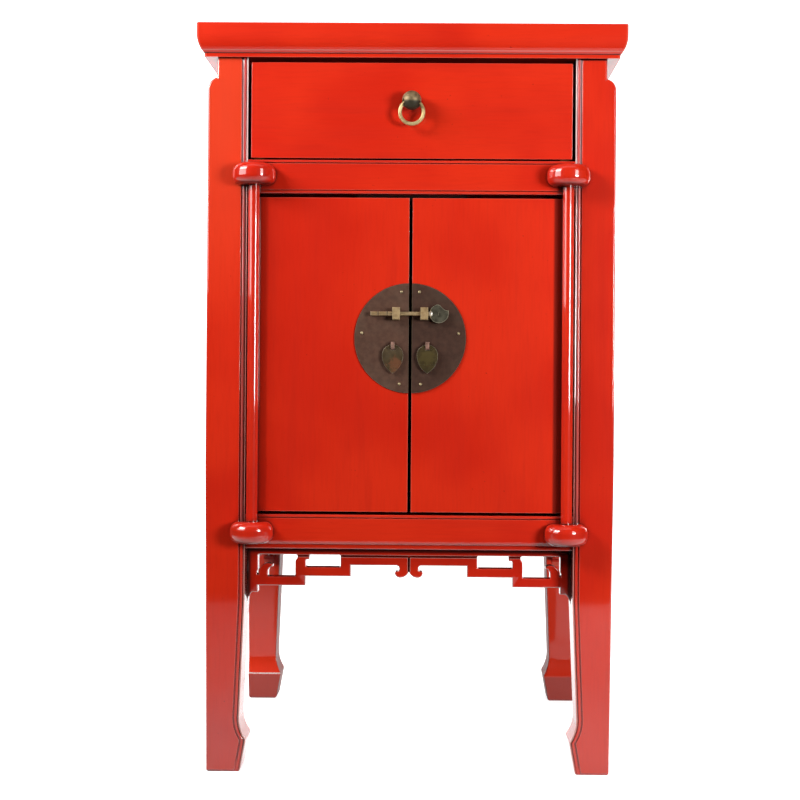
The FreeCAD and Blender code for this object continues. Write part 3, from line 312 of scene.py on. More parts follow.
# The metals: tones, shine, roughness, and the shares of the worn tone in patches and on the rim.
MOTTLING = 0.45
RIM = 0.7
RIM_REACH = 0.9 * MM
METAL_DARK = (srgb(22, 16, 10), 0.8, (0.3, 0.8))
METAL_DARK_REACH = 2.5 * MM
METALS = {
    # Lit and shaded copies of one bronze: the left plate painted lighter, the right darker.
    "plate_left": dict(
        deep=srgb(78, 52, 40), body=srgb(92, 63, 49), worn=srgb(124, 112, 94),
        shine=0.1, roughness=0.55, mottling=0.1,
    ),
    "plate_right": dict(
        deep=srgb(60, 37, 27), body=srgb(73, 47, 35), worn=srgb(116, 104, 84),
        shine=0.1, roughness=0.55, mottling=0.1,
    ),
    "nail_brass": dict(
        deep=srgb(128, 112, 82), body=srgb(162, 146, 110), worn=srgb(200, 186, 150),
        shine=0.5, roughness=0.36,
    ),
    "staple_brass": dict(
        deep=srgb(136, 110, 76), body=srgb(168, 142, 102), worn=srgb(200, 178, 140),
        shine=0.3, roughness=0.45,
    ),
    "ring_brass": dict(
        deep=srgb(150, 128, 84), body=srgb(192, 170, 120), worn=srgb(226, 210, 164),
        shine=0.45, roughness=0.4, mottling=0.3,
    ),
    "copper": dict(
        deep=srgb(116, 88, 76), body=srgb(156, 118, 102), worn=srgb(192, 158, 138),
        shine=0.3, roughness=0.45,
    ),
}

# The leaf pulls: their tones, a pale rim that is rubbed and a painted highlight, and the patch where another
# metal shows through a ragged edge.
LEAF_WORN_AND_LIT = srgb(188, 178, 156)
LEAF_MOTTLING = 0.08
LEAF_LIT_RIM = 0.9
LEAF_SHINE = 0.35
LEAF_ROUGHNESS = 0.45
PATCH_SHARE = 0.8
PATCH_START = 5 * MM
PATCH_END = 10 * MM
PATCH_RAGGED = 5 * MM
LEAVES = {
    "leaf_left": dict(
        deep=srgb(62, 50, 32), body=srgb(80, 64, 40), patch=srgb(112, 70, 46),
        patch_place=(-15.5 * MM, -186 * MM, 437 * MM),
    ),
    "leaf_right": dict(
        deep=srgb(56, 46, 24), body=srgb(72, 60, 32), patch=srgb(78, 66, 34),
        patch_place=(18.5 * MM, -186 * MM, 445 * MM),
    ),
}

# The lock pin: brass with a dark head from one place on, a painted highlight on the head's rim and on the
# ball at its neck, and painted shade in the grooves of its tail.
PIN_BRASS = (srgb(140, 116, 80), srgb(178, 152, 112), srgb(206, 190, 156))
PIN_SHINE = 0.5
PIN_ROUGHNESS = 0.36
PIN_HEAD = srgb(72, 68, 56)
PIN_HEAD_MOTTLE = (srgb(88, 84, 70), 1.0, (0.3, 0.7))
PIN_HEAD_RIM_HIGHLIGHT = (srgb(176, 168, 142), 0.8, RIM_SPAN)
PIN_HEAD_START = 22 * MM
PIN_HEAD_END = 22.2 * MM
PIN_NECK = (21.8 * MM, sum(corner[Y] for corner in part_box("lock_pin")) / 2, 491 * MM)
PIN_BALL_HIGHLIGHT = (srgb(226, 220, 204), 1.0)
PIN_BALL_START = 2.6 * MM
PIN_BALL_END = 3.0 * MM
PIN_GROOVES = (-34.15 * MM, -24.55 * MM)
PIN_GROOVE_SHADE = (srgb(54, 40, 28), 0.8)
PIN_GROOVE_START = 0.3 * MM
PIN_GROOVE_END = 0.7 * MM

# The boss is brown, with painted shade nearly black below the ring.
BOSS_BRASS = (srgb(104, 88, 62), srgb(140, 120, 88), srgb(172, 152, 116))
BOSS_MOTTLING = 0.2
BOSS_SHINE = 0.35
BOSS_ROUGHNESS = 0.42
BOSS_SHADE = (srgb(40, 42, 34), 0.9)
BOSS_SHADE_FADE = 3 * MM

# How far each kind of piece has its edges rounded. Turned pieces are round already.
EDGE_ROUND = {
    "top_panel": 0.4 * MM, "drawer_front": 1.0 * MM, "bottom_rail_back": 0.8 * MM,
    "bottom_rail_left": 0.8 * MM, "bottom_rail_right": 0.8 * MM, "upper_rail": 0.8 * MM,
    "door_panel": 1.2 * MM, "side_panel": 0.5 * MM, "lock_plate": 0.35 * MM, "leaf_pull": 0.6 * MM,
    "pull_staple": 0.3 * MM,
}
EDGE_SEGMENTS = 3
WELD = 0.005 * MM
FLAT_ANGLE = math.radians(0.5)
SHARP_ANGLE = math.radians(32)

# The copies whose edges are rounded each by its own width. A moulded piece is rounded only along its length,
# by no more than a share of a narrow face's width.
WIDEST = 2.5 * MM
SHAPED_SEGMENTS = 4
MOULDED_ROUND = {"drawer_rail": 0.8 * MM, "bottom_rail_front": 0.8 * MM}
LONG_EDGE = 60 * MM
NARROW_SHARE = 0.35

# The front of a front leg has three flats with grooves between them: a strip, the bead and the wide face. The
# first two have their own rounding.
LEG_FLATS = 3
LEG_STRIP_ROUNDS = (0.5 * MM, 1.25 * MM)
BEAD_GROOVE_DEEP = 2 * MM
BEAD_GROOVE_ROUND = 0.6 * MM
FRONT_LEG_ROUND = 2.2 * MM
REAR_LEG_ROUND = 1.5 * MM
FOOT_CHAMFER = 2.1 * MM

# The fret: its rounding, and the groove along its face.
FRET_ROUND = 1.1 * MM
FRET_STEPS = 3
FRET_SHARP = math.radians(60)
FRET_TOP_BAR = 8.6 * MM
FRET_GROOVE = 2.2 * MM
FRET_GROOVE_DEEP = 2.5 * MM
FRET_GROOVE_END = 51.9 * MM

# The ring's boss, and the room in it for the ring: the ring's height, radius and swing (in degrees).
BOSS_RADIUS = 10.25 * MM
BOSS_STEM = 4.5 * MM
BOSS_STEPS = 24
RING_HEIGHT = 717 * MM
RING_MIDDLE = 12.5 * MM
RING_ROOM = 2.4 * MM
RING_SWING_START = 175
RING_SWING = 115
MOUTH_MARGIN = 1.1

# The colour sockets of a mix node, which has others of the same names.
MIX_SHARE = 0
MIX_FIRST = 6
MIX_SECOND = 7
MIX_RESULT = 2


class Finish:
    """One node material, with short ways to add nodes to it."""

    def __init__(self, name):
        self.material = bpy.data.materials.new(name)
        self.material.use_nodes = True
        self.tree = self.material.node_tree
        self.surface = self.tree.nodes["Principled BSDF"]

    def put(self, socket, value):
        if isinstance(value, bpy.types.NodeSocket):
            self.tree.links.new(value, socket)
        else:
            socket.default_value = value

    def add(self, kind, inputs=None, **settings):
        node = self.tree.nodes.new(kind)
        for key, value in settings.items():
            setattr(node, key, value)
        for key, value in (inputs or {}).items():
            self.put(node.inputs[key], value)
        return node

    def set(self, **values):
        """Sets the surface's own sockets, named with underscores for spaces."""
        for key, value in values.items():
            self.put(self.surface.inputs[key.replace("_", " ")], value)

    def math(self, operation, first, second):
        return self.add("ShaderNodeMath", {0: first, 1: second}, operation=operation).outputs["Value"]

    def place(self, stretch=(1, 1, 1)):
        """The piece's own coordinates, stretched so that a pattern runs along the grain."""
        where = self.add("ShaderNodeTexCoord").outputs["Object"]
        return self.add("ShaderNodeMapping", {"Vector": where, "Scale": stretch}).outputs["Vector"]

    def axis(self, letter):
        """One of the piece's own coordinates."""
        return self.add("ShaderNodeSeparateXYZ", {0: self.place()}).outputs[letter]

    def outward(self):
        """The distance from the cabinet's middle, to either side."""
        return self.math("ABSOLUTE", self.axis("X"), 0.0)

    def distance(self, point):
        """The distance from a point."""
        inputs = {0: self.place(), 1: point}
        return self.add("ShaderNodeVectorMath", inputs, operation="DISTANCE").outputs["Value"]

    def facing(self, letter):
        """How far the surface looks along one axis, from -1 to 1."""
        normal = self.add("ShaderNodeNewGeometry").outputs["Normal"]
        return self.add("ShaderNodeSeparateXYZ", {0: normal}).outputs[letter]

    def facing_side(self, outside):
        """1 where a piece at a side of the cabinet looks outside, or with outside at -1, to the middle."""
        side = self.math("MULTIPLY", self.math("SIGN", self.axis("X"), 0.0), outside)
        return self.ramp(self.math("MULTIPLY", self.facing("X"), side), *FACING_SPAN)

    def noise(self, where, pattern):
        scale, detail, roughness = pattern
        inputs = {"Vector": where, "Scale": scale, "Detail": detail, "Roughness": roughness}
        return self.add("ShaderNodeTexNoise", inputs).outputs["Fac"]

    def ramp(self, value, low, high, start=0.0, end=1.0):
        """Maps low..high smoothly to start..end."""
        inputs = {"Value": value, "From Min": low, "From Max": high, "To Min": start, "To Max": end}
        return self.add("ShaderNodeMapRange", inputs, interpolation_type="SMOOTHSTEP").outputs["Result"]

    def band(self, value, low, high, soft):
        """1 between low and high, fading to 0 over a soft margin outside them."""
        rise = self.ramp(value, low - soft, low)
        return self.math("MULTIPLY", rise, self.ramp(value, high, high + soft, 1, 0))

    def mix(self, share, first, second):
        """One colour mixed with a share of a second."""
        inputs = {MIX_SHARE: share, MIX_FIRST: first, MIX_SECOND: second}
        return self.add("ShaderNodeMix", inputs, data_type="RGBA", blend_type="MIX").outputs[MIX_RESULT]

    def tint(self, colour, tone, *masks):
        """Lays a tone over a colour, by up to the tone's share, where every mask is 1."""
        laid, share = tone
        for mask in masks:
            share = self.math("MULTIPLY", mask, share)
        return self.mix(share, colour, laid)

    def layer(self, colour, coat, pattern, *masks):
        """Lays a coat's tone over a colour where its pattern shows and every mask is 1."""
        laid, share, span = coat
        return self.tint(colour, (laid, share), self.ramp(pattern, *span), *masks)

    def crevice(self, reach):
        """1 deep in a groove or corner, 0 in the open."""
        return self.occlusion(reach)

    def edge(self, reach):
        """1 on a thin outer edge, 0 on a face."""
        return self.occlusion(reach, inside=True, only_local=True)

    def occlusion(self, reach, **settings):
        """How much of the near surroundings is blocked."""
        inputs = {"Distance": reach}
        node = self.add("ShaderNodeAmbientOcclusion", inputs, samples=OCCLUSION_SAMPLES, **settings)
        return self.math("SUBTRACT", 1.0, node.outputs["AO"])

    def bump(self, height, depth, strength):
        inputs = {"Height": height, "Distance": depth, "Strength": strength}
        self.set(Normal=self.add("ShaderNodeBump", inputs).outputs["Normal"])


def lacquer_colour(finish, stretch, edge_wear_and_highlight, shaded=1.0):
    """Vermilion with faint brush streaks, edges rubbed paler (some also with a painted highlight),
    and painted shade laid dark in the corners, gaps and grooves.

    Where shaded is 0, no painted shade is laid.
    """
    along = finish.place(stretch)
    plain = finish.place()
    streaks = finish.noise(along, STREAKS)
    red = finish.layer(RED, RED_CLOUDS, finish.noise(plain, CLOUDS))
    red = finish.layer(red, RED_STREAKS, streaks)
    red = finish.layer(red, RED_BRUSH, finish.noise(along, BRUSH_MARKS))
    red = finish.layer(red, RED_SPECKS, finish.noise(plain, SPECKS))
    # Paler edges: wear, and on the legs and the fret also a painted highlight.
    red = finish.layer(red, edge_wear_and_highlight, finish.edge(WEAR_REACH))
    # Painted shade in corners and gaps, wide and tight.
    red = finish.layer(red, WIDE_PAINTED_SHADE, finish.crevice(WIDE_REACH), shaded)
    red = finish.layer(red, TIGHT_PAINTED_SHADE, finish.crevice(TIGHT_REACH), shaded)
    return red, streaks


def finish_lacquer(finish, colour, streaks, gloss=FULL_GLOSS):
    """Adds the lacquer's deep gloss and the faint relief of its brush strokes."""
    finish.set(Base_Color=colour, Roughness=finish.ramp(streaks, *LACQUER_ROUGHNESS))
    finish.set(Specular_IOR_Level=0.06, Coat_Weight=gloss, Coat_Roughness=0.05, Coat_IOR=1.55)
    finish.bump(streaks, *LACQUER_RELIEF)
    return finish.material


def make_lacquer(name, stretch, gloss=FULL_GLOSS):
    """Plain lacquer with its grain along one axis."""
    finish = Finish(name)
    colour, streaks = lacquer_colour(finish, stretch, SOFT_WEAR)
    return finish_lacquer(finish, colour, streaks, gloss)


def make_door_lacquer(name, shadow_share):
    """A door's lacquer, with a painted shadow of its post on the strip beside it."""
    finish = Finish(name)
    colour, streaks = lacquer_colour(finish, GRAIN_UP, SOFT_WEAR)
    beside = finish.ramp(finish.outward(), POST_SHADOW_START, POST_SHADOW_END)
    # Painted shadow of the post.
    colour = finish.tint(colour, (PAINTED_SHADE_TONE, shadow_share), beside)
    return finish_lacquer(finish, colour, streaks)


def make_leg_lacquer():
    """A front leg's lacquer: its bead worn and with painted highlights, painted shade black in the corner
    beside the fret and none at the floor, and a painted sheen high on the left leg.
    """
    finish = Finish("red_lacquer_leg")
    height = finish.axis("Z")
    depth = finish.axis("Y")
    outward = finish.outward()
    left = finish.ramp(finish.axis("X"), -MIDDLE_BLUR, MIDDLE_BLUR, 1, 0)
    low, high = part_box("apron_front")
    end = high[X]
    front = finish.ramp(depth, low[Y] - LEG_FRONT_START, low[Y] - LEG_FRONT_END, 1, 0)
    colour, streaks = lacquer_colour(finish, GRAIN_UP, HARD_WEAR_AND_HIGHLIGHT, finish.ramp(height, *UNSHADED_FOOT))
    # Painted shade in the corner beside the fret.
    colour = finish.tint(
        colour, CORNER_SHADE_TONE,
        finish.ramp(outward, end + CORNER_START, end + CORNER_END, 1, 0),
        finish.band(height, low[Z] + CORNER_LIFT, high[Z], CORNER_FADE_UP),
        finish.band(depth, low[Y] - CORNER_DEPTH, low[Y], CORNER_FADE_DEEP),
    )
    # Painted sheen, lighter where the left light falls high on the left leg.
    colour = finish.tint(
        colour, SHEEN_TONE, left,
        finish.ramp(height, SHEEN_LOW, SHEEN_HIGH),
        finish.ramp(outward, end + SHEEN_START, end + SHEEN_END),
    )
    # Worn crown of the bead, paler also as a painted highlight.
    colour = finish.tint(
        colour, CROWN_WEAR_AND_HIGHLIGHT, front,
        finish.band(outward, end + CROWN_START, end + CROWN_END, CROWN_FADE),
        finish.band(height, BEAD_LOW, BEAD_HIGH, BEAD_FADE),
    )
    beside = finish.ramp(height, BEAD_HIGH, BEAD_HIGH + BEAD_FADE)
    # Painted highlight bands on the bead beside the drawer; each worn tone here is a painted highlight.
    for start, stop, worn in BEAD_HIGHLIGHT_BANDS:
        band = finish.band(outward, end + start, end + stop, BAND_FADE)
        colour = finish.tint(colour, (worn, BAND_SHARE), front, beside, band)
    return finish_lacquer(finish, colour, streaks)


def make_rear_leg_lacquer():
    """A rear leg's lacquer: duller than the front's, painted brighter as if more lit, with painted shade
    on the face that looks to the middle.
    """
    finish = Finish("red_lacquer_rear_leg")
    height = finish.axis("Z")
    inward = finish.facing_side(-1)
    left = finish.ramp(finish.axis("X"), -MIDDLE_BLUR, MIDDLE_BLUR, 1, 0)
    colour, streaks = lacquer_colour(finish, GRAIN_UP, SOFT_WEAR, finish.ramp(height, *UNSHADED_FOOT))
    # Painted light: brighter all over.
    colour = finish.tint(colour, REAR_LIGHT_TONE)
    # Painted shade on the inward face.
    colour = finish.tint(colour, INWARD_SHADE_TONE, inward)
    colour = finish.tint(colour, HOOF_TONE, finish.ramp(height, HOOF_TIP - HOOF_FADE, HOOF_TIP, 1, 0))
    # Chips and a painted highlight on the left hoof tip.
    colour = finish.tint(
        colour, CHIP_AND_HIGHLIGHT_TONE, left,
        finish.ramp(finish.noise(finish.place(), CHIPS), *CHIP_SPAN),
        finish.band(height, HOOF_TIP - CHIP_BELOW, HOOF_TIP + CHIP_ABOVE, CHIP_FADE),
        finish.ramp(finish.axis("Y"), HOOF_FRONT + CHIP_START, HOOF_FRONT + CHIP_END, 1, 0),
    )
    gloss = finish.ramp(inward, 0, 1, REAR_GLOSS, DULL_GLOSS)
    return finish_lacquer(finish, colour, streaks, gloss)


def make_side_fret_lacquer():
    """A side fret's lacquer, glossy only on the face outside."""
    finish = Finish("red_lacquer_side_fret")
    colour, streaks = lacquer_colour(finish, GRAIN_DEEP, SOFT_WEAR)
    gloss = finish.ramp(finish.facing_side(1), 0, 1, DULL_GLOSS, FULL_GLOSS)
    return finish_lacquer(finish, colour, streaks, gloss)


def make_fret_lacquer():
    """The front fret's lacquer: edges worn and with a painted highlight, a painted floor reflection below,
    and painted shade under the sill and at its ends.
    """
    finish = Finish("red_lacquer_fret")
    colour, streaks = lacquer_colour(finish, GRAIN_ACROSS, HARD_WEAR_AND_HIGHLIGHT)
    end, _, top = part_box("apron_front")[1]
    # Painted reflection of the floor on faces that look down.
    colour = finish.tint(colour, FRET_FLOOR_REFLECTION, finish.ramp(finish.facing("Z"), *UNDERSIDE_SPAN, 1, 0))
    # Painted shade under the sill.
    under = finish.ramp(finish.axis("Z"), top - FRET_SILL_START, top - FRET_SILL_END)
    colour = finish.tint(colour, FRET_SHADE, under)
    # Painted shade at the ends.
    beside = finish.ramp(finish.outward(), end - FRET_SIDE_START, end - FRET_SIDE_END)
    colour = finish.tint(colour, FRET_SHADE, beside)
    return finish_lacquer(finish, colour, streaks)


def make_top_lacquer(name, stretch):
    """The lacquer of the top's frame, with a painted highlight line and a painted shadow line along its
    moulding.
    """
    finish = Finish(name)
    height = finish.axis("Z")
    colour, streaks = lacquer_colour(finish, stretch, SOFT_WEAR)
    # Painted highlight line along the splay.
    highlight_line = finish.band(height, SPLAY_TOP - SPLAY_HIGHLIGHT_WIDE, SPLAY_TOP, SPLAY_FADE)
    colour = finish.tint(colour, SPLAY_HIGHLIGHT, highlight_line)
    # Painted shadow line below the splay.
    dark = finish.band(height, SPLAY_FOOT - SPLAY_SHADOW_BELOW, SPLAY_FOOT + SPLAY_SHADOW_ABOVE, SPLAY_FADE)
    colour = finish.tint(colour, SPLAY_SHADOW, dark)
    gloss = finish.ramp(finish.facing("Z"), *FACING_SPAN, FULL_GLOSS, TOP_GLOSS)
    return finish_lacquer(finish, colour, streaks, gloss)


def make_drum_lacquer():
    """A turned drum's lacquer, with painted shade on its underside."""
    finish = Finish("red_lacquer_drum")
    height = finish.axis("Z")
    colour, streaks = lacquer_colour(finish, GRAIN_UP, SOFT_WEAR)
    for node in ("pivot_drum_upper_left", "pivot_drum_lower_left"):
        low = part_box(node)[0][Z]
        # Painted shade under the drum's lowest point.
        under = finish.ramp(height, low + DRUM_SHADE_START, low + DRUM_SHADE_END, 1, 0)
        above = finish.ramp(height, low + DRUM_SHADE_FLOOR, low + DRUM_SHADE_FOOT)
        colour = finish.tint(colour, DRUM_SHADE, under, above)
    return finish_lacquer(finish, colour, streaks)


def make_wood(name, stretch, tones):
    """Plain stained softwood, as it is left inside the case: growth lines, fibres and pores."""
    deep, body, dark = tones
    finish = Finish(name)
    along = finish.place(stretch)
    fibre = finish.noise(along, WOOD_FIBRE)
    inputs = {"Vector": along, **GROWTH_LINES}
    growth = finish.add("ShaderNodeTexWave", inputs, bands_direction="DIAGONAL", wave_profile="SAW")
    brown = finish.layer(deep, (body, 1.0, WOOD_SPAN), finish.noise(along, WOOD_CLOUDS))
    brown = finish.layer(brown, (dark, GROWTH_SHARE, GROWTH_SPAN), growth.outputs["Fac"])
    brown = finish.layer(brown, (dark, FIBRE_SHARE, FIBRE_SPAN), fibre)
    brown = finish.layer(brown, (dark, PORE_SHARE, PORE_SPAN), finish.noise(along, WOOD_PORES))
    roughness = finish.ramp(fibre, *WOOD_ROUGHNESS)
    finish.set(Base_Color=brown, Roughness=roughness, Specular_IOR_Level=0.12)
    finish.bump(fibre, *WOOD_RELIEF)
    return finish.material


def metal_base(name, deep, body, worn, mottling=MOTTLING, rim=RIM):
    """The colour of patinated metal: mottled body, with a rim that is rubbed bright."""
    finish = Finish(name)
    where = finish.place()
    mottle = finish.noise(where, MOTTLE)
    colour = finish.layer(deep, (body, 1.0, MOTTLE_SPAN), mottle)
    colour = finish.layer(colour, (worn, mottling, PATCH_SPAN), finish.noise(where, PATCHES))
    colour = finish.layer(colour, (worn, rim, RIM_SPAN), finish.edge(RIM_REACH))
    return finish, mottle, colour


def finish_metal(finish, mottle, colour, shine, roughness):
    """Adds the dark of the corners, the shine and the fine relief of patinated metal."""
    colour = finish.layer(colour, METAL_DARK, finish.crevice(METAL_DARK_REACH))
    finish.set(Base_Color=colour, Metallic=shine, Specular_IOR_Level=0.15)
    rougher = roughness + METAL_ROUGHNESS_GAIN
    finish.set(Roughness=finish.ramp(mottle, *METAL_ROUGHNESS_SPAN, roughness, rougher))
    finish.bump(mottle, *METAL_RELIEF)
    return finish.material


def make_metal(name, deep, body, worn, shine, roughness, mottling=MOTTLING):
    """Patinated metal, alike all over."""
    finish, mottle, colour = metal_base(name, deep, body, worn, mottling)
    return finish_metal(finish, mottle, colour, shine, roughness)


def make_leaf(name, deep, body, patch, patch_place):
    """A leaf pull: dark olive with a pale rim, rubbed and a painted highlight,
    and a patch where another metal shows through.
    """
    # The pale rim is partly a painted highlight.
    finish, mottle, colour = metal_base(name, deep, body, LEAF_WORN_AND_LIT, LEAF_MOTTLING, LEAF_LIT_RIM)
    ragged = finish.noise(finish.place(), RAGGED)
    ragged = finish.ramp(ragged, *RAGGED_SPAN, -PATCH_RAGGED, PATCH_RAGGED)
    spread = finish.math("ADD", finish.distance(patch_place), ragged)
    colour = finish.tint(colour, (patch, PATCH_SHARE), finish.ramp(spread, PATCH_START, PATCH_END, 1, 0))
    return finish_metal(finish, mottle, colour, LEAF_SHINE, LEAF_ROUGHNESS)


def make_pin():
    """The lock pin's brass: dark flat head, painted highlights on its rim and neck ball, painted shade in the
    grooves.
    """
    finish, mottle, brass = metal_base("pin_brass", *PIN_BRASS)
    along = finish.axis("X")
    head = finish.layer(PIN_HEAD, PIN_HEAD_MOTTLE, mottle)
    # Painted highlight on the head's rim.
    head = finish.layer(head, PIN_HEAD_RIM_HIGHLIGHT, finish.edge(RIM_REACH))
    colour = finish.mix(finish.ramp(along, PIN_HEAD_START, PIN_HEAD_END), brass, head)
    # Painted shade in the tail's grooves.
    for groove in PIN_GROOVES:
        apart = finish.math("ABSOLUTE", finish.math("SUBTRACT", along, groove), 0.0)
        inside = finish.ramp(apart, PIN_GROOVE_START, PIN_GROOVE_END, 1, 0)
        colour = finish.tint(colour, PIN_GROOVE_SHADE, inside)
    # Painted highlight on the ball at the neck.
    ball = finish.ramp(finish.distance(PIN_NECK), PIN_BALL_START, PIN_BALL_END, 1, 0)
    colour = finish.tint(colour, PIN_BALL_HIGHLIGHT, ball)
    return finish_metal(finish, mottle, colour, PIN_SHINE, PIN_ROUGHNESS)


def make_boss():
    """The ring's boss: olive brown on its dome, with painted shade nearly black on the half below the ring.
    """
    finish, mottle, colour = metal_base("boss_brass", *BOSS_BRASS, BOSS_MOTTLING)
    # Painted shade below the ring.
    below = finish.ramp(finish.axis("Z"), RING_HEIGHT - BOSS_SHADE_FADE, RING_HEIGHT, 1, 0)
    colour = finish.tint(colour, BOSS_SHADE, below)
    return finish_metal(finish, mottle, colour, BOSS_SHINE, BOSS_ROUGHNESS)


def make_finishes():
    """Every finish, under the name that PIECES_OF has for it."""
    finishes = {
        "lacquer_x": make_lacquer("red_lacquer_x", GRAIN_ACROSS),
        "lacquer_y": make_lacquer("red_lacquer_y", GRAIN_DEEP),
        "lacquer_z": make_lacquer("red_lacquer_z", GRAIN_UP),
        "front_leg": make_leg_lacquer(),
        "rear_leg": make_rear_leg_lacquer(),
        "drum": make_drum_lacquer(),
        "top_panel": make_lacquer("red_lacquer_panel", GRAIN_ACROSS, TOP_GLOSS),
        "top_x": make_top_lacquer("red_lacquer_top_x", GRAIN_ACROSS),
        "top_y": make_top_lacquer("red_lacquer_top_y", GRAIN_DEEP),
        "fret": make_fret_lacquer(),
        "side_fret": make_side_fret_lacquer(),
        "door_left": make_door_lacquer("red_lacquer_door_left", LEFT_DOOR_SHADOW),
        "door_right": make_door_lacquer("red_lacquer_door_right", RIGHT_DOOR_SHADOW),
        "wood_x": make_wood("inside_wood_x", GRAIN_ACROSS, PLAIN_WOOD),
        "wood_y": make_wood("inside_wood_y", GRAIN_DEEP, PLAIN_WOOD),
        "wood_z": make_wood("inside_wood_z", GRAIN_UP, PLAIN_WOOD),
        "dark_wood": make_wood("stop_wood", GRAIN_ACROSS, DARK_WOOD),
        "pin_brass": make_pin(),
        "boss_brass": make_boss(),
    }
    for name, facts in METALS.items():
        finishes[name] = make_metal(name, **facts)
    for name, facts in LEAVES.items():
        finishes[name] = make_leaf(name, **facts)
    return finishes


def round_edges(piece, radius):
    """Rounds a piece's sharp edges and keeps its flat faces flat."""
    weld = piece.modifiers.new("weld", "WELD")
    weld.merge_threshold = WELD
    bevel = piece.modifiers.new("bevel", "BEVEL")
    bevel.width = radius
    bevel.segments = EDGE_SEGMENTS
    bevel.limit_method = "ANGLE"
    bevel.angle_limit = SHARP_ANGLE
    bevel.use_clamp_overlap = True
    normals = piece.modifiers.new("normals", "WEIGHTED_NORMAL")
    normals.keep_sharp = False


def leg_rounds(shape):
    """How far each edge of a leg is rounded: the bead along a front leg's inner edge is made round."""
    front = min(corner.co.y for corner in shape.verts)
    flats = [face for face in shape.faces
             if all(abs(corner.co.y - front) < WELD for corner in face.verts)]
    flats.sort(key=lambda face: face.calc_area())
    beaded = len(flats) == LEG_FLATS
    by_strip = dict(zip(flats, LEG_STRIP_ROUNDS)) if beaded else {}

    def width(edge):
        for face in edge.link_faces:
            if face in by_strip:
                return by_strip[face]
        depths = [corner.co.y - front for face in edge.link_faces for corner in face.verts]
        if beaded and any(face in flats for face in edge.link_faces) and max(depths) < BEAD_GROOVE_DEEP:
            return BEAD_GROOVE_ROUND
        if max(corner.co.z for corner in edge.verts) < FOOT_CHAMFER:
            return 0
        return FRONT_LEG_ROUND if beaded else REAR_LEG_ROUND

    return width


def moulded_rounds(radius):
    """How far each edge of a moulded piece is rounded, for pieces with this radius where there is room."""
    def rounds(shape):
        def width(edge):
            long = edge.calc_length()
            if long < LONG_EDGE:
                return 0
            return min([radius] + [NARROW_SHARE * face.calc_area() / long for face in edge.link_faces])
        return width
    return rounds


def add_object(name, data):
    """A new object in the scene, with its mesh, curve, light or lens."""
    thing = bpy.data.objects.new(name, data)
    bpy.context.scene.collection.objects.link(thing)
    return thing


def shaped_copy(name, rounds, material):
    """A copy of a node whose sharp edges are rounded, each by its own width."""
    mesh = nodes[name].data.copy()
    mesh.name = f"{name}_shaped"
    shape = bmesh.new()
    shape.from_mesh(mesh)
    bmesh.ops.remove_doubles(shape, verts=shape.verts, dist=WELD)
    bmesh.ops.dissolve_limit(shape, angle_limit=FLAT_ANGLE, verts=shape.verts, edges=shape.edges)
    shape.normal_update()
    weight = shape.edges.layers.float.new("bevel_weight_edge")
    width = rounds(shape)
    for face in shape.faces:
        face.smooth = True
    for edge in shape.edges:
        if len(edge.link_faces) == 2 and edge.calc_face_angle() > SHARP_ANGLE:
            edge[weight] = width(edge) / WIDEST if edge.is_convex else 0
            edge.smooth = edge[weight] > 0
    shape.to_mesh(mesh)
    shape.free()
    mesh.materials.clear()
    mesh.materials.append(material)
    piece = add_object(f"{name}_shaped", mesh)
    bevel = piece.modifiers.new("bevel", "BEVEL")
    bevel.width = WIDEST
    bevel.segments = SHAPED_SEGMENTS
    bevel.limit_method = "WEIGHT"
    bevel.use_clamp_overlap = False
    normals = piece.modifiers.new("normals", "WEIGHTED_NORMAL")
    normals.keep_sharp = True
    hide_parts(name)
    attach(piece, "frame")


def outlines(mesh, axis, level):
    """The closed outlines of a mesh's flat face at a level along an axis, as rows of points."""
    shape = bmesh.new()
    shape.from_mesh(mesh)
    bmesh.ops.remove_doubles(shape, verts=shape.verts, dist=WELD)
    flat = {face for face in shape.faces
            if all(abs(corner.co[axis] - level) < WELD for corner in face.verts)}
    rim = [edge for edge in shape.edges if sum(face in flat for face in edge.link_faces) == 1]
    rows = []
    while rim:
        first, corner = rim.pop().verts
        row = [first.co.copy()]
        while corner is not first:
            row.append(corner.co.copy())
            edge = next(link for link in corner.link_edges if link in rim)
            rim.remove(edge)
            corner = edge.other_vert(corner)
        rows.append(row)
    shape.free()
    return rows


def evaluated_mesh(thing):
    """A new mesh of an object as its modifiers or its curve settings leave it."""
    bpy.context.view_layer.update()
    return bpy.data.meshes.new_from_object(thing.evaluated_get(bpy.context.evaluated_depsgraph_get()))


def rounded_slab(name, rows, across, thick):
    """A flat slab with the given outlines and openings, its edges rounded on both faces."""
    curve = bpy.data.curves.new(name, "CURVE")
    curve.dimensions = "2D"
    curve.fill_mode = "BOTH"
    curve.extrude = thick / 2 - FRET_ROUND
    curve.bevel_depth = FRET_ROUND
    curve.bevel_resolution = FRET_STEPS
    curve.offset = -FRET_ROUND
    for row in rows:
        spline = curve.splines.new("POLY")
        spline.points.add(len(row) - 1)
        for point, corner in zip(spline.points, row):
            point.co = (corner[across], corner.z, 0, 1)
        spline.use_cyclic_u = True
    drawing = add_object(name, curve)
    mesh = evaluated_mesh(drawing)
    bpy.data.objects.remove(drawing)
    bpy.data.curves.remove(curve)
    shape = bmesh.new()
    shape.from_mesh(mesh)
    bmesh.ops.remove_doubles(shape, verts=shape.verts, dist=WELD)
    bmesh.ops.recalc_face_normals(shape, faces=shape.faces)
    shape.to_mesh(mesh)
    shape.free()
    return mesh


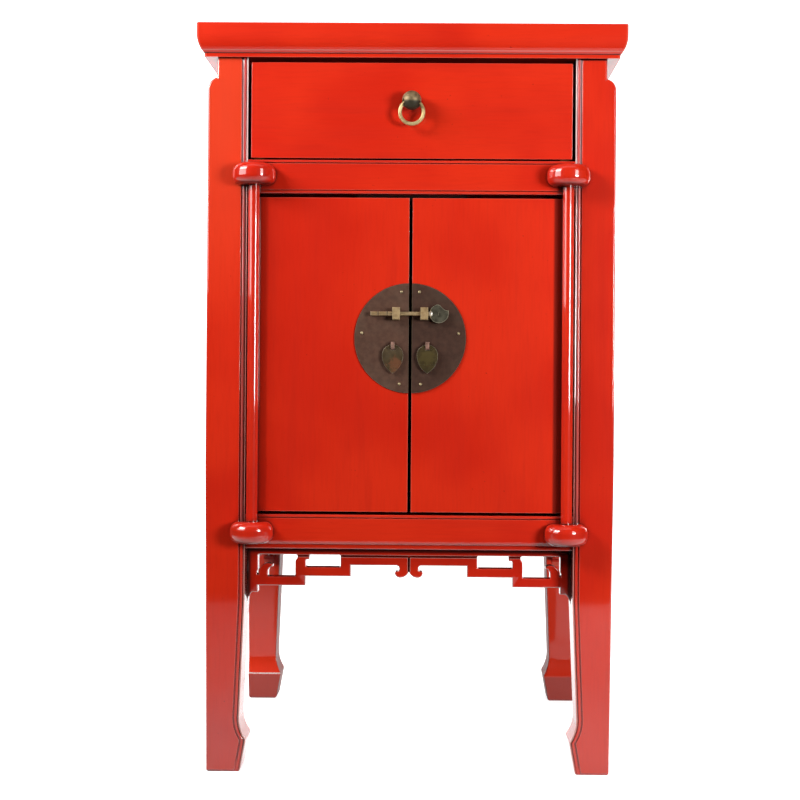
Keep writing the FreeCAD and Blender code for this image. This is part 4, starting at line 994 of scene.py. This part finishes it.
def bar_mesh(name, low, high):
    """A plain closed bar between two corners, to cut a groove with."""
    shape = bmesh.new()
    bmesh.ops.create_cube(shape, size=1)
    for corner in shape.verts:
        corner.co = Vector([low[axis] if corner.co[axis] < 0 else high[axis] for axis in (X, Y, Z)])
    mesh = bpy.data.meshes.new(name)
    shape.to_mesh(mesh)
    shape.free()
    return mesh


def carve(piece, cutter_mesh):
    """Cuts a mesh out of a piece for good, and clears the slivers that the cut leaves."""
    cutter = add_object("cutter", cutter_mesh)
    cut = piece.modifiers.new("cut", "BOOLEAN")
    cut.operation = "DIFFERENCE"
    cut.solver = "EXACT"
    cut.object = cutter
    carved = evaluated_mesh(piece)
    shape = bmesh.new()
    shape.from_mesh(carved)
    bmesh.ops.remove_doubles(shape, verts=shape.verts, dist=WELD)
    bmesh.ops.dissolve_degenerate(shape, edges=shape.edges, dist=WELD)
    shape.to_mesh(carved)
    shape.free()
    piece.modifiers.clear()
    piece.data = carved
    bpy.data.objects.remove(cutter)
    bpy.data.meshes.remove(cutter_mesh)


def smooth_faces(piece, sharp):
    """Shades a piece smooth, apart from edges that turn by more than an angle."""
    for polygon in piece.data.polygons:
        polygon.use_smooth = True
    piece.data.set_sharp_from_angle(angle=sharp)


def fret_copy(name, material):
    """A copy of a fret apron with softly rounded edges and the groove carved along its face."""
    low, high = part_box(name)
    face_axis = Y if name == "apron_front" else X
    across = X if face_axis == Y else Y
    outward = 1 if name == "apron_right" else -1
    face, rear = (high, low) if outward > 0 else (low, high)
    rows = outlines(nodes[name].data, face_axis, rear[face_axis])
    mesh = rounded_slab(name, rows, across, high[face_axis] - low[face_axis])
    middle = (low[face_axis] + high[face_axis]) / 2
    for corner in mesh.vertices:
        along, up, out = corner.co
        corner.co[face_axis] = middle + out
        corner.co[across] = along
        corner.co.z = up
    mesh.materials.clear()
    mesh.materials.append(material)
    piece = add_object(f"{name}_shaped", mesh)
    centre = (low[across] + high[across]) / 2
    level = high[Z] - FRET_TOP_BAR
    reach = (high[across] - low[across]) / 2 - FRET_GROOVE_END
    half = FRET_GROOVE / 2
    deep = outward * FRET_GROOVE_DEEP
    for start, end, bottom, top in ((centre - reach, centre + reach, level - FRET_GROOVE, level),
                                    (centre - half, centre + half, low[Z], level - half)):
        near = Vector((0, 0, bottom))
        far = Vector((0, 0, top))
        near[across] = start
        far[across] = end
        near[face_axis], far[face_axis] = sorted((face[face_axis] - deep, face[face_axis] + deep))
        carve(piece, bar_mesh("groove", near, far))
    smooth_faces(piece, FRET_SHARP)
    normals = piece.modifiers.new("normals", "WEIGHTED_NORMAL")
    normals.keep_sharp = True
    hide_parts(name)
    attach(piece, "frame")


def turned_mesh(name, profile, start, sweep, steps):
    """A solid turned about the X axis from a profile of (x, radius) points, through a sweep in degrees."""
    shape = bmesh.new()
    full = sweep == FULL_TURN
    rings = []
    for step in range(steps if full else steps + 1):
        angle = math.radians(start + sweep * step / steps)
        ring = [(x, radius * math.cos(angle), radius * math.sin(angle)) for x, radius in profile]
        rings.append([shape.verts.new(point) for point in ring])
    pairs = list(zip(rings, rings[1:])) + ([(rings[-1], rings[0])] if full else [])
    for first, second in pairs:
        for here in range(len(profile) - 1):
            shape.faces.new((first[here], first[here + 1], second[here + 1], second[here]))
    bmesh.ops.remove_doubles(shape, verts=shape.verts, dist=WELD)
    bmesh.ops.dissolve_degenerate(shape, edges=shape.edges, dist=WELD)
    bmesh.ops.holes_fill(shape, edges=shape.edges)
    bmesh.ops.recalc_face_normals(shape, faces=shape.faces)
    mesh = bpy.data.meshes.new(name)
    shape.to_mesh(mesh)
    shape.free()
    return mesh


def boss_copy(name, material):
    """The ring's boss as a full dome, with room for the ring only where it hangs and swings."""
    low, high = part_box(name)
    radius = BOSS_RADIUS
    centre = Vector((0, low[Y] + radius, RING_HEIGHT))
    stem_end = high[Y] - centre.y
    stem_start = math.sqrt(radius ** 2 - BOSS_STEM ** 2)
    turns = [math.pi * step / BOSS_STEPS for step in range(BOSS_STEPS + 1)]
    dome = [(radius * -math.cos(turn), radius * math.sin(turn)) for turn in turns]
    outline = [point for point in dome if point[0] < stem_start]
    outline += [(stem_start, BOSS_STEM), (stem_end, BOSS_STEM), (stem_end, 0)]
    mesh = turned_mesh(f"{name}_shaped", outline, 0, FULL_TURN, 2 * BOSS_STEPS)
    for corner in mesh.vertices:
        corner.co = centre + Vector((corner.co.y, corner.co.x, corner.co.z))
    mesh.flip_normals()
    piece = add_object(f"{name}_shaped", mesh)
    bend = RING_MIDDLE - RING_ROOM
    reach = RING_MIDDLE + RING_ROOM
    span = math.sqrt(bend ** 2 - (RING_MIDDLE - radius) ** 2)
    marks = [2 * step / BOSS_STEPS - 1 for step in range(BOSS_STEPS + 1)]
    mouth = [(span * mark, RING_MIDDLE - math.sqrt(bend ** 2 - (span * mark) ** 2)) for mark in marks]
    past = MOUTH_MARGIN * radius
    mouth = [(-past, 0), (-past, past)] + mouth + [(past, past), (past, 0)]
    span = math.sqrt(reach ** 2 - RING_MIDDLE ** 2)
    bore = [(span * mark, math.sqrt(reach ** 2 - (span * mark) ** 2) - RING_MIDDLE) for mark in marks]
    for profile, start, sweep in ((mouth, RING_SWING_START, RING_SWING), (bore, 0, FULL_TURN)):
        cutter = turned_mesh("cutter", profile, start, sweep, BOSS_STEPS)
        for corner in cutter.vertices:
            corner.co += centre
        carve(piece, cutter)
    piece.data.materials.clear()
    piece.data.materials.append(material)
    smooth_faces(piece, SHARP_ANGLE)
    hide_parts(name)
    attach(piece, "drawer")


def dress_nodes():
    """Gives the CAD pieces their finishes and rounded edges, and puts finer copies in place of some."""
    finishes = make_finishes()
    materials = {name: finishes[FINISH_OF.get(name, "lacquer_z")] for name in nodes}
    for name, piece in nodes.items():
        piece.data.materials.clear()
        piece.data.materials.append(materials[name])
        for stem, radius in EDGE_ROUND.items():
            if name.startswith(stem):
                round_edges(piece, radius)
    for name in LEGS:
        shaped_copy(name, leg_rounds, materials[name])
    for name, radius in MOULDED_ROUND.items():
        shaped_copy(name, moulded_rounds(radius), materials[name])
    for name in APRONS:
        fret_copy(name, materials[name])
    boss_copy("ring_boss", materials["ring_boss"])


def make_paper(name):
    """White studio paper, still without its glow."""
    finish = Finish(name)
    fibre = finish.noise(finish.place(), PAPER_FIBRE)
    tint = finish.layer(PAPER_SHADE, (PAPER_WHITE, 1.0, PAPER_SPAN), fibre)
    finish.set(Base_Color=tint, Roughness=0.9, Emission_Color=PAPER_WHITE)
    return finish


def sheet(name, corners, paper):
    """A flat four-cornered sheet of paper for the studio."""
    mesh = bpy.data.meshes.new(name)
    mesh.from_pydata([Vector(corner) for corner in corners], [], [range(len(corners))])
    mesh.materials.append(paper.material)
    thing = add_object(name, mesh)
    return thing


def area_light(name, place, target, wide, tall, power):
    """A soft rectangular light at a place, turned to a target. The camera doesn't see it."""
    light = bpy.data.lights.new(name, "AREA")
    light.shape = "RECTANGLE"
    light.size = wide
    light.size_y = tall
    light.energy = power
    lamp = add_object(name, light)
    lamp.location = place
    lamp.rotation_euler = (Vector(target) - Vector(place)).to_track_quat("-Z", "Y").to_euler()
    lamp.visible_camera = False
    return lamp


def softbox(name, azimuth, distance, bottom, top, width, power):
    """An upright soft light, turned level to the cabinet. Azimuth is seen from the cabinet's front."""
    angle = math.radians(azimuth)
    height = (bottom + top) / 2
    place = (math.sin(angle) * distance, -math.cos(angle) * distance, height)
    return area_light(name, place, (0, 0, height), width, top - bottom, power)


def make_papers():
    """The floor and the wall of glowing paper. All of the floor that the camera sees glows alike."""
    floor_paper = make_paper("floor_paper")
    fade = floor_paper.ramp(floor_paper.axis("Y"), FLOOR_FADE_FAR, FLOOR_FADE_NEAR, 0, FLOOR_GLOW)
    seen = floor_paper.add("ShaderNodeLightPath").outputs["Is Camera Ray"]
    seen = floor_paper.math("MULTIPLY", seen, FLOOR_GLOW)
    floor_paper.set(Emission_Strength=floor_paper.math("MAXIMUM", fade, seen))
    wall_paper = make_paper("wall_paper")
    wall_paper.set(Emission_Strength=WALL_GLOW)
    ends = (-PAPER_HALF, PAPER_HALF)
    near = [(x, PAPER_NEAR, 0) for x in ends]
    back = [(x, PAPER_BACK, 0) for x in reversed(ends)]
    floor = sheet("floor", near + back, floor_paper)
    floor.visible_diffuse = False
    foot = [(x, PAPER_BACK, WALL_FOOT) for x in ends]
    top = [(x, PAPER_BACK, WALL_TOP) for x in reversed(ends)]
    sheet("wall", foot + top, wall_paper)


def make_lights():
    """The soft lights, some of them for the highlights alone, and one for all but the highlights."""
    for name, facts in SOFTBOXES.items():
        softbox(name, *facts)
    area_light("top_light", *TOP_LIGHT)
    roof_light = area_light("roof_light", *ROOF_LIGHT)
    roof_light.visible_glossy = False
    for name, facts in HIGHLIGHTS.items():
        shine = softbox(name, *facts)
        shine.visible_diffuse = False


def make_world():
    """A world that is white to the camera and gives no light."""
    world = bpy.data.worlds.new("studio")
    bpy.context.scene.world = world
    world.use_nodes = True
    tree = world.node_tree
    backdrop = tree.nodes["Background"]
    backdrop.inputs["Color"].default_value = (1, 1, 1, 1)
    sight = tree.nodes.new("ShaderNodeLightPath")
    tree.links.new(sight.outputs["Is Camera Ray"], backdrop.inputs["Strength"])
    bpy.context.scene.view_settings.view_transform = "Standard"


def make_camera():
    """Sets the camera from its place, its three turns and the photograph's centre."""
    lens = bpy.data.cameras.new("camera")
    lens.sensor_fit = "HORIZONTAL"
    lens.sensor_width = SENSOR_WIDTH
    lens.lens = SENSOR_WIDTH * FOCAL_LENGTH / IMAGE_SIDE
    lens.shift_x = (IMAGE_SIDE / 2 - CENTRE_X) / IMAGE_SIDE
    lens.shift_y = (CENTRE_Y - IMAGE_SIDE / 2) / IMAGE_SIDE
    level = Vector((math.cos(CAMERA_YAW), math.sin(CAMERA_YAW), 0))
    ahead = Vector((-math.sin(CAMERA_YAW) * math.cos(CAMERA_PITCH),
                    math.cos(CAMERA_YAW) * math.cos(CAMERA_PITCH), math.sin(CAMERA_PITCH)))
    upright = level.cross(ahead)
    right = level * math.cos(CAMERA_ROLL) + upright * math.sin(CAMERA_ROLL)
    up = upright * math.cos(CAMERA_ROLL) - level * math.sin(CAMERA_ROLL)
    camera = add_object("camera", lens)
    camera.matrix_world = Matrix.Translation(CAMERA_PLACE) @ Matrix((right, up, -ahead)).transposed().to_4x4()
    bpy.context.scene.camera = camera


dress_nodes()
make_papers()
make_lights()
make_world()
make_camera()
